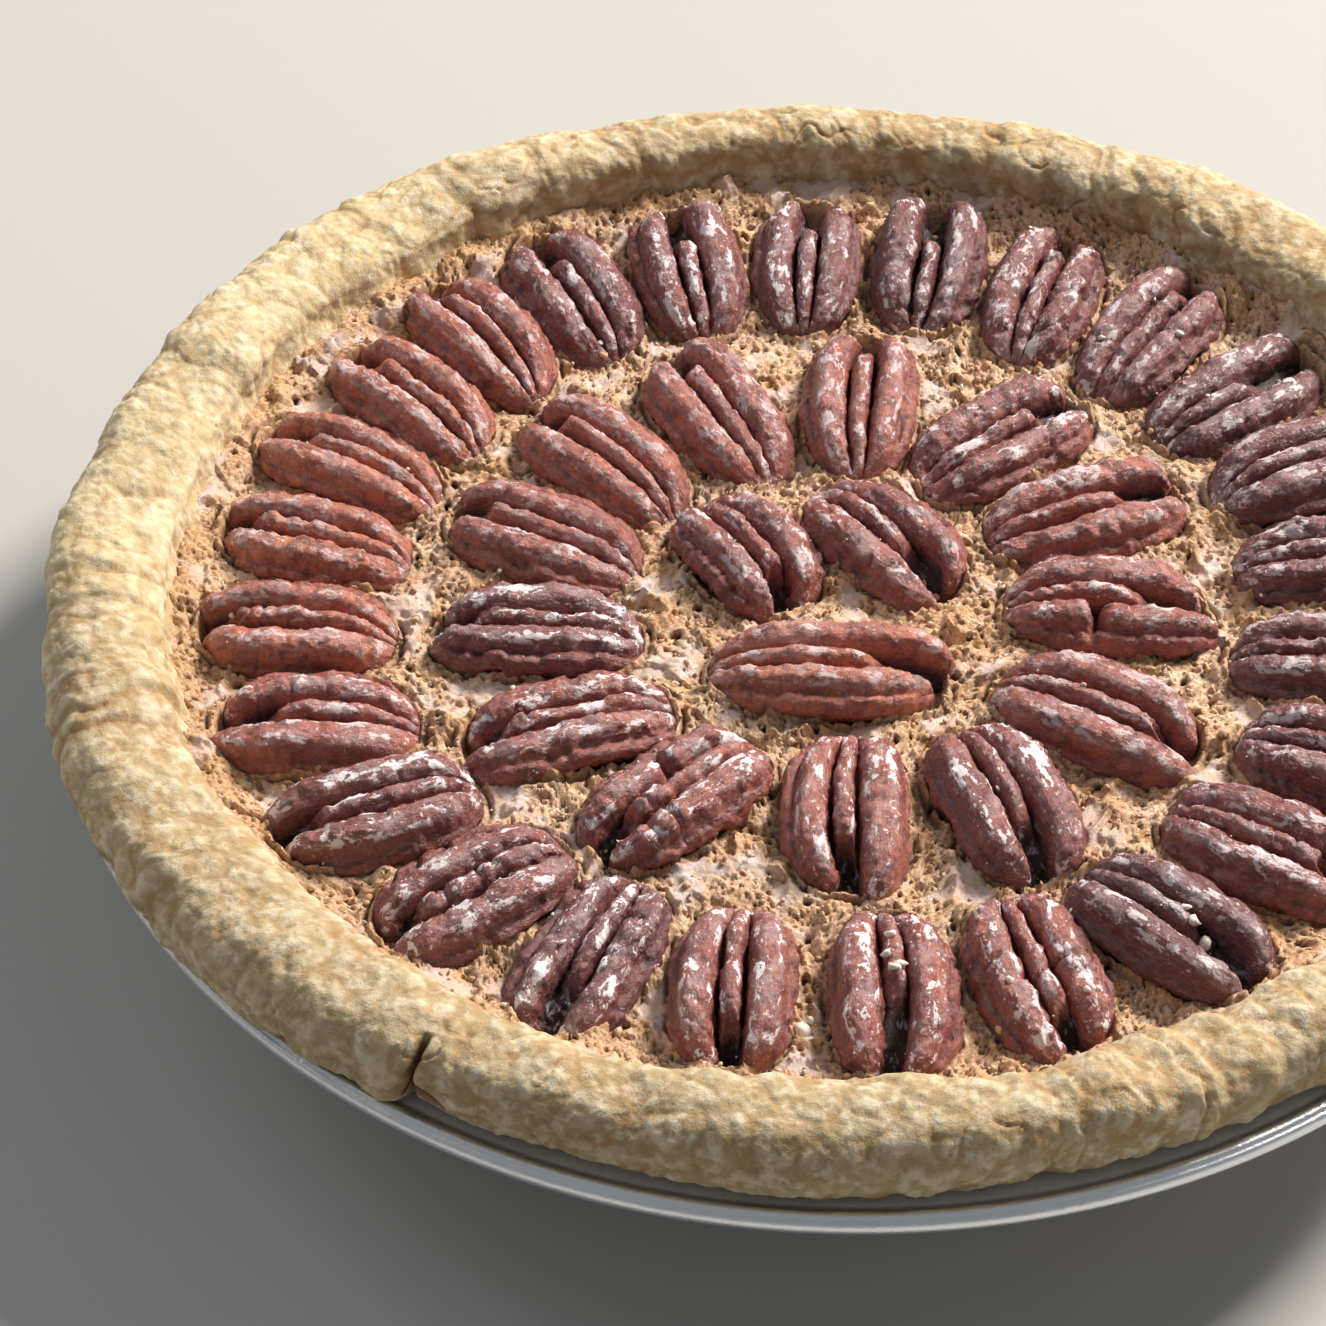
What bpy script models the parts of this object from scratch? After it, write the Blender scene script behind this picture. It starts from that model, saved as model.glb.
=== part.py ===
"""Pecan pie in its own round metal tin, with three rings of pecan halves on the filling.

The pie stands on the tin's flat base at z = 0, with its axis on Z.  Each piece is one closed solid:
the turned tin, the pastry case with its rolled rim, the filling with a pocket under each nut, and the
pecan halves.  Lengths are in metres and angles in degrees, counter-clockwise from +X seen from above.
"""

import math
import random

import bmesh
import bpy
import numpy as np
from mathutils import Matrix, Vector

MM = 0.001

# Clearances between pieces that touch in the real pie.
FACE_GAP = 0.3 * MM
ROUND_GAP = 0.5 * MM  # between two turned walls, whose facets bow towards each other

# The tin, a spun sheet with a flat flange and a rolled edge.
TIN_BASE_RADIUS = 80.0 * MM
TIN_WALL_RADIUS = 105.0 * MM
TIN_RIM_RADIUS = 117.5 * MM
TIN_DEPTH = 30.0 * MM
TIN_SHEET = 0.8 * MM
TIN_STEPS = 52
BEAD_RADIUS = 1.7 * MM
BEAD_RISE = 1.0 * MM  # how far the rolled edge stands above the flange
BEAD_POINTS = 7

# The rim and the nuts were laid a little off the tin's middle, towards -X.
OFF_CENTRE = (-1.2 * MM, 0.4 * MM)

# The pastry case and its rolled rim.
CRUST_THICK = 4.5 * MM
CRUST_STEPS = 2 * TIN_STEPS
RIM_SEAT_RADIUS = 110.5 * MM
RIM_HEIGHT = 12.0 * MM  # above the flange
RIM_EDGE_RISE = 1.4 * MM  # the lower outer edge clears the tin's rolled edge
RIM_LUMP = 0.75 * MM
RIM_SIDE_LUMP = 0.35 * MM
RIM_CREASE = 0.3 * MM
# How far the hand-rolled rim reaches: turn in degrees, its outer radius, and how far its lower edge
# lies inside that, in millimetres.
RIM_REACH = (
    (0, 116.0, 1.3), (22, 116.4, 1.2), (48, 116.5, 1.2), (64, 114.7, 1.4), (80, 111.8, 1.4),
    (98, 110.9, 1.4), (115, 112.4, 1.4), (131, 115.9, 1.2), (150, 116.7, 1.0), (165, 116.0, 0.9),
    (176, 116.9, 0.8), (189, 116.7, 0.7), (200, 117.2, 0.6), (210, 117.2, 0.6), (220, 117.3, 0.6),
    (231, 117.0, 0.6), (239, 116.3, 0.9), (248, 114.9, 2.2), (256, 114.8, 2.0), (273, 114.6, 1.8),
    (290, 114.7, 1.9), (300, 115.1, 1.9), (308, 115.9, 1.7), (330, 116.2, 1.3), (345, 115.8, 1.3),
)
# Where its inner edge lies: turn in degrees and radius in millimetres.
RIM_LIP = (
    (0, 99.6), (60, 99.4), (120, 99.2), (160, 99.3), (187, 99.2), (206, 100.6), (214, 99.0), (244, 98.9),
    (253, 100.5), (261, 99.3), (274, 99.0), (281, 100.6), (289, 100.6), (301, 99.2), (313, 101.6),
    (330, 100.0),
)
SEAM_TURN = 241.7  # where the two ends of the rolled dough meet
SEAM_DEPTH = 3.0 * MM
SEED = 7

# The filling.
FILL_LEVEL = 31.5 * MM

# The pecan halves.
PECAN_LENGTH = 32.5 * MM
MIDDLE_LENGTH = 33.6 * MM
PECAN_WIDTH = 19.3 * MM
PECAN_HEIGHT = 9.0 * MM
PECAN_SINK = 2.6 * MM
PECAN_MAX_TILT = 3.5
POCKET_HEIGHT = 14.0 * MM

# Where each half was laid by hand: turn about the rings' middle, slew from pointing at it, and the
# distance of the half's middle from it in millimetres.
OUTER_LAY = (
    (202, -19, 80), (217, -15, 80), (232, -15, 79), (247, 0, 80), (262, 6, 79),
    (278, -4, 79), (293, -2, 80), (308, 13, 81), (323, 8, 80), (338, 4, 81),
    (353, 0, 76), (9, -2, 78), (24, 2, 80), (38, 3, 80), (52, 6, 80),
    (66, 8, 79), (80, 4, 80), (94, -5, 78), (108, -5, 79), (122, -2, 80),
    (135, -6, 80), (148, -12, 78), (161, -8, 79), (174, -9, 79), (188, -11, 80),
)
MIDDLE_LAY = (
    (192, -12, 44), (217, -18, 47), (244, -18, 47), (275, -4, 44), (303, -9, 48),
    (331, 4, 46), (1, -3, 42), (28, -5, 44), (55, -15, 45), (85, 3, 45),
    (114, 6, 45), (141, -4, 46), (166, -11, 45),
)
CENTRE_LAY = ((143, 164, 16.0), (60, -107, 16.0), (271, 88, 15.5))
CENTRE_LENGTHS = (26.5 * MM, 31.0 * MM, 37.0 * MM)


def clear_scene():
    """Remove every object and collection that the file opened with."""
    for thing in list(bpy.data.objects):
        bpy.data.objects.remove(thing, do_unlink=True)
    for group in list(bpy.data.collections):
        bpy.data.collections.remove(group)


def make_collection(name):
    """Add a collection to the scene."""
    group = bpy.data.collections.new(name)
    bpy.context.scene.collection.children.link(group)
    return group


def make_material(name, colour, roughness, metallic=0.0):
    """A Principled material of one colour."""
    material = bpy.data.materials.new(name)
    material.use_nodes = True
    shader = material.node_tree.nodes["Principled BSDF"]
    shader.inputs["Base Color"].default_value = (*colour, 1.0)
    shader.inputs["Roughness"].default_value = roughness
    shader.inputs["Metallic"].default_value = metallic
    return material


def add_object(name, mesh, group, material=None):
    """Put a mesh in a collection as an object."""
    if material:
        mesh.materials.append(material)
    thing = bpy.data.objects.new(name, mesh)
    group.objects.link(thing)
    return thing


def mesh_from(name, points, faces):
    """A mesh with all its faces turned outwards and shaded smooth across soft edges."""
    mesh = bpy.data.meshes.new(name)
    mesh.from_pydata([tuple(point) for point in points], [], faces)
    shape = bmesh.new()
    shape.from_mesh(mesh)
    bmesh.ops.recalc_face_normals(shape, faces=shape.faces)
    shape.to_mesh(mesh)
    shape.free()
    mesh.shade_smooth()
    mesh.set_sharp_from_angle(angle=math.radians(50))
    return mesh


def loft(rings, first_pole, last_pole):
    """Join rings of equal length with quads, and close both ends onto a pole."""
    count = len(rings[0])
    points = [point for ring in rings for point in ring] + [first_pole, last_pole]
    faces = []
    for row in range(len(rings) - 1):
        for step in range(count):
            near, far = row * count + step, row * count + (step + 1) % count
            faces.append((near, far, far + count, near + count))
    first, last = len(points) - 2, len(points) - 1
    top_row = (len(rings) - 1) * count
    for step in range(count):
        following = (step + 1) % count
        faces.append((first, following, step))
        faces.append((last, top_row + step, top_row + following))
    return points, faces


def wall_radius(height, inset):
    """Radius, at a height, of the sloping wall set in by a distance square to the tin's outside."""
    slope = (TIN_WALL_RADIUS - TIN_BASE_RADIUS) / TIN_DEPTH
    return TIN_BASE_RADIUS + slope * height - inset * math.hypot(1.0, slope)


def tin_profile():
    """The tin's closed half section, from the inside middle over the rolled edge to the underside."""
    flange_under = TIN_DEPTH - TIN_SHEET
    bead_centre = Vector((TIN_RIM_RADIUS - BEAD_RADIUS, TIN_DEPTH + BEAD_RISE - BEAD_RADIUS))
    start = math.pi - math.asin((TIN_DEPTH - bead_centre.y) / BEAD_RADIUS)
    finish = -math.pi - math.asin((flange_under - bead_centre.y) / BEAD_RADIUS)
    profile = [
        (0.0, TIN_SHEET),
        (wall_radius(TIN_SHEET, TIN_SHEET), TIN_SHEET),
        (wall_radius(TIN_DEPTH, TIN_SHEET), TIN_DEPTH),
    ]
    for index in range(BEAD_POINTS):
        angle = start + (finish - start) * index / (BEAD_POINTS - 1)
        profile.append((bead_centre.x + BEAD_RADIUS * math.cos(angle),
                        bead_centre.y + BEAD_RADIUS * math.sin(angle)))
    profile += [
        (wall_radius(flange_under, 0.0), flange_under),
        (TIN_BASE_RADIUS, 0.0),
        (0.0, 0.0),
    ]
    return profile


def build_tin(group):
    """Turn the tin's section about Z."""
    profile = tin_profile()
    mesh = bpy.data.meshes.new("tin")
    points = [(radius, 0.0, height) for radius, height in profile]
    mesh.from_pydata(points, [(i, i + 1) for i in range(len(points) - 1)], [])
    metal = make_material("tin_metal", (0.55, 0.56, 0.57), 0.35, 1.0)
    tin = add_object("tin", mesh, group, metal)
    screw = tin.modifiers.new("turn", "SCREW")
    screw.axis = "Z"
    screw.angle = math.tau
    screw.steps = screw.render_steps = TIN_STEPS
    screw.use_merge_vertices = True
    screw.merge_threshold = 0.00001
    screw.use_smooth_shade = True
    return tin


class Waviness:
    """A seeded wave round the pie: a sum of sines that repeats after one turn, about one high."""

    def __init__(self, source, lowest, highest, count):
        self.waves = [(source.randint(lowest, highest), source.uniform(0.0, math.tau))
                      for _ in range(count)]

    def at(self, angle):
        """The wave's height at an angle in radians."""
        total = sum(math.sin(times * angle + shift) for times, shift in self.waves)
        return total / math.sqrt(len(self.waves))


def read_round(stations, column, angle):
    """A size read between stations laid round the pie, in metres at an angle in radians."""
    turns = [station[0] for station in stations]
    sizes = [station[column] * MM for station in stations]
    return float(np.interp(math.degrees(angle), turns, sizes, period=360.0))


def crust_section(angle, waves, crease):
    """The pastry's half section at one angle, from the outer base edge over the rim to the inner."""
    flange = TIN_DEPTH + FACE_GAP
    outer_inset = TIN_SHEET + ROUND_GAP
    inner_inset = outer_inset + CRUST_THICK
    base = TIN_SHEET + FACE_GAP
    floor = base + CRUST_THICK
    reach = read_round(RIM_REACH, 1, angle)
    from_seam = (math.degrees(angle) - SEAM_TURN + 180.0) % 360.0 - 180.0
    notch = SEAM_DEPTH if abs(from_seam) < 180.0 / CRUST_STEPS else 0.0
    aside = OFF_CENTRE[0] * math.cos(angle) + OFF_CENTRE[1] * math.sin(angle)
    outer = reach + aside + RIM_SIDE_LUMP * waves["out"].at(angle) + crease - notch
    edge = outer - read_round(RIM_REACH, 2, angle)
    inner = read_round(RIM_LIP, 1, angle) + aside + RIM_SIDE_LUMP * waves["in"].at(angle) + 0.5 * crease
    top = flange + RIM_HEIGHT + RIM_LUMP * waves["top"].at(angle) + crease - 0.5 * notch
    crown = 0.5 * (inner + outer)
    return [
        (wall_radius(base, outer_inset), base),
        (wall_radius(flange, outer_inset), flange),
        (RIM_SEAT_RADIUS - notch, flange),
        (edge, flange + RIM_EDGE_RISE),
        (outer, flange + 0.42 * RIM_HEIGHT),
        (outer - 2.6 * MM, top - 0.22 * RIM_HEIGHT),
        (crown, top),
        (inner + 2.4 * MM, top - 0.1 * RIM_HEIGHT),
        (inner, top - 0.34 * RIM_HEIGHT),
        (wall_radius(FILL_LEVEL, inner_inset), FILL_LEVEL + FACE_GAP),
        (wall_radius(floor, inner_inset), floor),
    ]


def build_crust(group):
    """Loft the pastry case through its sections round the pie."""
    source = random.Random(SEED)
    waves = {name: Waviness(source, 5, 26, 7) for name in ("out", "in", "top")}
    sections = []
    for step in range(CRUST_STEPS):
        angle = math.tau * step / CRUST_STEPS
        crease = source.uniform(-RIM_CREASE, RIM_CREASE)
        section = crust_section(angle, waves, crease)
        sections.append([(radius * math.cos(angle), radius * math.sin(angle), height)
                         for radius, height in section])
    rings = [list(ring) for ring in zip(*sections)]
    underside = (0.0, 0.0, TIN_SHEET + FACE_GAP)
    floor = (0.0, 0.0, TIN_SHEET + FACE_GAP + CRUST_THICK)
    points, faces = loft(rings, underside, floor)
    pastry = make_material("pastry", (0.62, 0.45, 0.25), 0.8)
    return add_object("crust", mesh_from("crust", points, faces), group, pastry)


def pecan_sections(source):
    """Rows across a pecan half: place along it, half width, height, and how deep its grooves run.

    The half points along +X, away from the pie's middle, where its two main lobes part.
    """
    rows = []
    for place in (-0.86, -0.48, 0.02, 0.5, 0.85):
        taper = 2.3 if place < 0 else 2.9
        width = (1.0 - abs(place) ** taper) ** 0.5
        height = (1.0 - abs(place) ** 2.6) ** 0.42 * (1.0 + source.uniform(-0.05, 0.05))
        groove = 0.3 + 0.3 * (place + 1.0) * 0.5
        rows.append((place, width, height, groove))
    return rows


def pecan_mesh(name, length, width, height, source):
    """A pecan half: two side lobes, two main lobes and a low middle ridge over a flat underside."""
    rings = []
    for place, wide, high, groove in pecan_sections(source):
        across = 0.5 * width * wide
        tall = height * high
        spread = 0.48 + 0.12 * place
        left = 1.0 + source.uniform(-0.05, 0.05)
        right = 1.0 + source.uniform(-0.05, 0.05)
        outline = (
            (-1.0, 0.04), (-0.95, 0.52), (-spread, 1.0 * left), (-0.2, 1.0 - groove),
            (0.0, 1.0 - 0.55 * groove), (0.2, 1.0 - groove), (spread, 1.0 * right), (0.95, 0.52),
            (1.0, 0.04),
        )
        rings.append([(0.5 * length * place, across * side, tall * up) for side, up in outline])
    inner_tip = (-0.5 * length, 0.0, 0.30 * height)
    outer_tip = (0.5 * length, 0.0, 0.22 * height)
    points, faces = loft(rings, inner_tip, outer_tip)
    return mesh_from(name, points, faces)


def pocket_mesh(name, length, width, source):
    """The hole that a pecan half has pressed in the filling: its outline, a face gap larger."""
    rows = pecan_sections(source)
    side = [(0.5 * length * place, 0.5 * width * wide + FACE_GAP) for place, wide, _, _ in rows]
    tip = 0.5 * length + 2.0 * FACE_GAP
    outline = [(-tip, 0.0)] + [(x, -y) for x, y in side] + [(tip, 0.0)] + side[::-1]
    shape = bmesh.new()
    face = shape.faces.new([shape.verts.new((x, y, -FACE_GAP)) for x, y in outline])
    raised = bmesh.ops.extrude_face_region(shape, geom=[face])["geom"]
    top = [item for item in raised if isinstance(item, bmesh.types.BMVert)]
    bmesh.ops.translate(shape, verts=top, vec=(0.0, 0.0, POCKET_HEIGHT))
    bmesh.ops.recalc_face_normals(shape, faces=shape.faces)
    mesh = bpy.data.meshes.new(name)
    shape.to_mesh(mesh)
    shape.free()
    return mesh


def room_beside(lay, index):
    """Share of the usual width that a half in a ring has, from the turns of its two neighbours."""
    before, after = lay[index - 1][0], lay[(index + 1) % len(lay)][0]
    spread = (after - before) % 360
    return min(1.0, spread / (2.0 * 360.0 / len(lay)))


def place_pecan(name, lay, size, source, group, cutters, material):
    """Lay one pecan half on the filling, with the pocket that holds it."""
    turn, slew, reach = lay
    length, width = size
    tilts = [math.radians(source.uniform(-PECAN_MAX_TILT, PECAN_MAX_TILT)) for _ in range(2)]
    angle = math.radians(turn)
    spot = Vector((OFF_CENTRE[0] + reach * MM * math.cos(angle),
                   OFF_CENTRE[1] + reach * MM * math.sin(angle), FILL_LEVEL - PECAN_SINK))
    matrix = (Matrix.Translation(spot) @ Matrix.Rotation(angle + math.radians(slew), 4, "Z")
              @ Matrix.Rotation(tilts[0], 4, "Y") @ Matrix.Rotation(tilts[1], 4, "X"))
    height = PECAN_HEIGHT * source.uniform(0.94, 1.06)
    pecan = add_object(name, pecan_mesh(name, length, width, height, source), group, material)
    pocket = add_object("pocket_" + name, pocket_mesh("pocket_" + name, length, width, source), cutters)
    pecan.matrix_world = pocket.matrix_world = matrix
    pocket.hide_render = True
    pocket.display_type = "WIRE"


def build_pecans(group, cutters):
    """Lay the outer ring, the middle ring and the three halves at the centre."""
    source = random.Random(SEED + 1)
    nut = make_material("pecan_skin", (0.26, 0.09, 0.06), 0.4)
    rings = (
        ("outer", OUTER_LAY, [PECAN_LENGTH] * len(OUTER_LAY)),
        ("middle", MIDDLE_LAY, [MIDDLE_LENGTH] * len(MIDDLE_LAY)),
        ("centre", CENTRE_LAY, CENTRE_LENGTHS),
    )
    for label, lays, lengths in rings:
        for index, (lay, length) in enumerate(zip(lays, lengths)):
            room = room_beside(lays, index) if label == "outer" else 1.0
            size = (length * source.uniform(0.96, 1.03), PECAN_WIDTH * room * source.uniform(0.92, 1.0))
            place_pecan(f"pecan_{label}_{index + 1:02d}", lay, size, source, group, cutters, nut)


def build_filling(group, cutters):
    """Turn the filling, level on top, and press a pocket in it for every pecan half."""
    inset = TIN_SHEET + 2.0 * ROUND_GAP + CRUST_THICK
    floor = TIN_SHEET + 2.0 * FACE_GAP + CRUST_THICK
    shape = bmesh.new()
    bmesh.ops.create_cone(
        shape, cap_ends=True, segments=TIN_STEPS, depth=FILL_LEVEL - floor,
        radius1=wall_radius(floor, inset), radius2=wall_radius(FILL_LEVEL, inset),
        matrix=Matrix.Translation((0.0, 0.0, 0.5 * (FILL_LEVEL + floor))))
    mesh = bpy.data.meshes.new("filling")
    shape.to_mesh(mesh)
    shape.free()
    custard = make_material("filling", (0.50, 0.30, 0.14), 0.5)
    filling = add_object("filling", mesh, group, custard)
    pressed = filling.modifiers.new("pockets", "BOOLEAN")
    pressed.operation = "DIFFERENCE"
    pressed.solver = "EXACT"
    pressed.operand_type = "COLLECTION"
    pressed.collection = cutters
    return filling


def main():
    """Build the pie."""
    clear_scene()
    pie = make_collection("pecan_pie")
    cutters = make_collection("cutters")
    build_tin(pie)
    build_crust(pie)
    build_pecans(pie, cutters)
    build_filling(pie, cutters)


main()
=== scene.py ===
"""Looks of a pecan pie in its own metal tin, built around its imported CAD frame.

The frame gives every size and place.  Each piece here stands for a plain CAD node: the pastry case, the
filling, every pecan half and the tin are rebuilt as fine surfaces worked out with numpy, in metres, in the
frame's own axes, and dressed with procedural finishes.
"""

import logging
import math
from dataclasses import dataclass, field
from enum import Enum
from functools import reduce

import bpy
import numpy as np
from mathutils import Matrix, Vector


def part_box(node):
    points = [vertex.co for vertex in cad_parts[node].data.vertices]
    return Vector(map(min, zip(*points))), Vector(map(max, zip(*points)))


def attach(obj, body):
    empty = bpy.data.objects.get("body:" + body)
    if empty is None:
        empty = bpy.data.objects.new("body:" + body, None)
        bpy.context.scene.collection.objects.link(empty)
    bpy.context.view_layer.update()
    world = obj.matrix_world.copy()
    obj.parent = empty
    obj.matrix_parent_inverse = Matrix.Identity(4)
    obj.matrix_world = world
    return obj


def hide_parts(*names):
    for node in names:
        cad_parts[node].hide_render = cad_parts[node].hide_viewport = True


Array = np.ndarray
Colour = tuple[float, float, float]
Spot = tuple[float, float]
Socket = bpy.types.NodeSocket

MM = 0.001
ROOT_BODY = "root"
LOG = logging.getLogger("pecan_pie")

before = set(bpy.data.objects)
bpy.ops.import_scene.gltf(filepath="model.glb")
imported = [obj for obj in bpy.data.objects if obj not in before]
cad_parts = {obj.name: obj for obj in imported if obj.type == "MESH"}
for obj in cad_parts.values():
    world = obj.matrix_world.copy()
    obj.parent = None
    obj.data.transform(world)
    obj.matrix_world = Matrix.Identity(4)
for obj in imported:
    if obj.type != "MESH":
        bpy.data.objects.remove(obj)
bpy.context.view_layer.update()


class Slot(Enum):
    """The record's material slots."""

    TIN = "tin_metal"
    PASTRY = "pastry"
    FILLING = "filling"
    PECAN = "pecan_skin"


# ---------------------------------------------------------------------------------------------
# Numbers: noise and shaping curves, all on whole arrays
# ---------------------------------------------------------------------------------------------


def ease(low: float, high: float, value: Array) -> Array:
    """Smooth step: 0 below low, 1 above high, and 3x^2 - 2x^3 of the way in between.

    Args:
        low: value where the step starts.
        high: value where it ends.
        value: numbers to map.

    Returns:
        Numbers from 0 to 1.
    """
    way = np.clip((np.asarray(value) - low) / (high - low), 0.0, 1.0)
    return way * way * (3.0 - 2.0 * way)


def bell(value: Array, width: float | Array) -> Array:
    """A bump one high at zero that falls off as exp(-(value / width)^2)."""
    return np.exp(-np.square(np.asarray(value) / width))


@dataclass(frozen=True)
class Grain:
    """Seeded gradient noise on a cubic lattice, for points given in lattice cells."""

    seed: int

    def _mixed(self, cell: Array) -> Array:
        """A 32-bit number for each lattice corner, mixed from its three whole coordinates."""
        mixed = cell[..., 0] * 73856093 ^ cell[..., 1] * 19349663 ^ cell[..., 2] * 83492791
        mixed = (mixed + self.seed * 2654435761) & 0xFFFFFFFF
        mixed = ((mixed ^ (mixed >> 15)) * 2246822519) & 0xFFFFFFFF
        return (mixed ^ (mixed >> 13)) & 0xFFFFFFFF

    def at(self, points: Array) -> Array:
        """Noise of about -1 to 1: corner gradients dotted with the way to the point, blended smoothly.

        Args:
            points: places with a last axis of three, one lattice cell apart per unit.

        Returns:
            One number for each place.
        """
        base = np.floor(points).astype(np.int64)
        part = points - base
        fade = part * part * part * (part * (part * 6.0 - 15.0) + 10.0)
        total = np.zeros(points.shape[:-1])
        for corner in range(8):
            step = np.array([corner & 1, corner >> 1 & 1, corner >> 2 & 1])
            mixed = self._mixed(base + step)
            share = np.prod(np.where(step == 1, fade, 1.0 - fade), axis=-1)
            pull = sum(((mixed >> (10 * axis)) & 1023) / 511.5 * (part[..., axis] - step[axis])
                       - (part[..., axis] - step[axis]) for axis in range(3))
            total += share * pull
        return total * 1.2

    def layers(self, points: Array, octaves: int, gain: float = 0.5) -> Array:
        """Noise summed over octaves, each twice as fine and gain times as strong."""
        total = np.zeros(points.shape[:-1])
        for octave in range(octaves):
            finer = Grain(self.seed + 101 * octave)
            total += gain ** octave * finer.at(points * 2.0 ** octave)
        return total

    def ridges(self, points: Array, sharpness: float = 2.0) -> Array:
        """Thin crests from 0 to 1 along the noise's zero lines: (1 - |noise|) to a power."""
        return np.power(np.clip(1.0 - np.abs(self.at(points)) * 1.6, 0.0, 1.0), sharpness)


@dataclass(frozen=True)
class Pits:
    """Seeded round pits scattered one to a cell over a plane, for points given in cells."""

    seed: int
    period: int = 1 << 30

    def _number(self, cell: Array, salt: int) -> Array:
        """A number from 0 to 1 for each whole cell, repeated along the first axis after the period."""
        mixed = (cell[..., 0] % self.period * 374761393 + cell[..., 1] * 668265263
                 + (self.seed * 31 + salt) * 974634777)
        mixed = ((mixed ^ (mixed >> 13)) * 1274126177) & 0xFFFFFFFF
        return ((mixed ^ (mixed >> 16)) & 0xFFFF) / 65535.0

    def nearest(self, plane: Array) -> tuple[Array, Array]:
        """The nearest pit.

        Args:
            plane: places with a last axis of two, in cells.

        Returns:
            The distance to the nearest pit's middle, in cells, and that pit's own number from 0 to 1.
        """
        home = np.floor(plane).astype(np.int64)
        best = np.full(plane.shape[:-1], 9.0)
        own = np.zeros(plane.shape[:-1])
        for shift_x in (-1, 0, 1):
            for shift_y in (-1, 0, 1):
                cell = home + np.array([shift_x, shift_y])
                away = np.hypot(cell[..., 0] + self._number(cell, 1) - plane[..., 0],
                                cell[..., 1] + self._number(cell, 2) - plane[..., 1])
                nearer = away < best
                own = np.where(nearer, self._number(cell, 3), own)
                best = np.where(nearer, away, best)
        return best, own


# ---------------------------------------------------------------------------------------------
# Meshes from arrays
# ---------------------------------------------------------------------------------------------


def grid_faces(rows: int, columns: int, wrap: bool) -> Array:
    """Quads over a grid of points stored row after row.

    Args:
        rows: number of rows of points.
        columns: number of points in a row.
        wrap: whether the last column joins the first.

    Returns:
        Point numbers, four to a face.
    """
    across = columns if wrap else columns - 1
    row, column = np.meshgrid(np.arange(rows - 1), np.arange(across), indexing="ij")
    following = (column + 1) % columns
    corners = (row * columns + column, row * columns + following,
               (row + 1) * columns + following, (row + 1) * columns + column)
    return np.stack(corners, axis=-1).reshape(-1, 4)


def fan_faces(ring: Array, pole: int) -> Array:
    """Triangles that join a closed ring of points to one pole."""
    return np.stack([ring, np.roll(ring, -1), np.full(len(ring), pole)], axis=-1)


def surface_normals(grid: Array, wrap_rows: bool, wrap_columns: bool) -> Array:
    """Unit normals of a grid of points: the cross product of its two central differences.

    Args:
        grid: points, rows by columns by three.
        wrap_rows: whether the last row joins the first.
        wrap_columns: whether the last column joins the first.

    Returns:
        Normals in the same layout, pointing to the side from which columns run to the right of rows.
    """
    def slope(axis: int, wrap: bool) -> Array:
        """Differences along one axis."""
        if wrap:
            return np.roll(grid, -1, axis=axis) - np.roll(grid, 1, axis=axis)
        return np.gradient(grid, axis=axis)

    normal = np.cross(slope(0, wrap_rows), slope(1, wrap_columns))
    return normal / np.maximum(np.linalg.norm(normal, axis=-1, keepdims=True), 1e-12)


@dataclass
class Piece:
    """One finished piece: its points, its faces by corner count, and numbers carried on its points."""

    name: str
    points: Array
    faces: list[Array]
    marks: dict[str, Array] = field(default_factory=dict)
    normals: Array | None = None

    def build(self, finish: "Finish", slot: Slot, stands_for: tuple[str, ...] = ()) -> None:
        """Make the mesh, dress it, and fix it to the pie.

        Args:
            finish: the surface it gets.
            slot: the material slot it belongs to; not used.
            stands_for: CAD nodes that it replaces.
        """
        mesh = bpy.data.meshes.new(self.name)
        corners = np.concatenate([face.ravel() for face in self.faces]).astype(np.int32)
        sizes = np.concatenate([np.full(len(face), face.shape[1]) for face in self.faces])
        starts = np.concatenate([[0], np.cumsum(sizes)[:-1]]).astype(np.int32)
        mesh.vertices.add(len(self.points))
        mesh.vertices.foreach_set("co", self.points.astype(np.float32).ravel())
        mesh.loops.add(len(corners))
        mesh.loops.foreach_set("vertex_index", corners)
        mesh.polygons.add(len(sizes))
        mesh.polygons.foreach_set("loop_start", starts)
        mesh.update(calc_edges=True)
        mesh.shade_smooth()
        for mark, values in self.marks.items():
            if values.ndim == 1:
                layer = mesh.attributes.new(mark, "FLOAT", "POINT")
                layer.data.foreach_set("value", np.clip(values, 0.0, 1.0).astype(np.float32))
            else:
                layer = mesh.attributes.new(mark, "FLOAT_VECTOR", "POINT")
                layer.data.foreach_set("vector", values.astype(np.float32).ravel())
        if self.normals is not None:
            mesh.normals_split_custom_set_from_vertices([tuple(row) for row in self.normals.tolist()])
        mesh.materials.append(finish.material())
        piece = bpy.data.objects.new(self.name, mesh)
        bpy.context.scene.collection.objects.link(piece)
        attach(piece, ROOT_BODY)
        if stands_for:
            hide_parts(*stands_for)
        LOG.info("%s: %d points, %d faces", self.name, len(self.points), len(sizes))


class Ground:
    """Heights of what has been built, on a square grid of cells, to lay crumbs on."""

    cell: float = 0.5 * MM
    half: float = 120.0 * MM

    def __init__(self) -> None:
        """Start with bare ground."""
        side = int(2 * self.half / self.cell)
        self.heights = np.zeros((side, side))

    def spots(self, plane: Array) -> tuple[Array, Array]:
        """The cells that places lie in."""
        index = np.clip(((plane + self.half) / self.cell).astype(int), 1, len(self.heights) - 2)
        return index[..., 0], index[..., 1]

    def add(self, points: Array) -> None:
        """Raise the cells to the highest of the points in them."""
        np.maximum.at(self.heights, self.spots(points[:, :2]), points[:, 2])

    def at(self, plane: Array) -> Array:
        """Height at places: their own cell's, or an empty cell's highest neighbour's."""
        x, y = self.spots(plane)
        around = np.stack([self.heights[x + a, y + b] for a in (-1, 0, 1) for b in (-1, 0, 1)])
        own = self.heights[x, y]
        return np.where(own > 0.0, own, around.max(axis=0))


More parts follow.
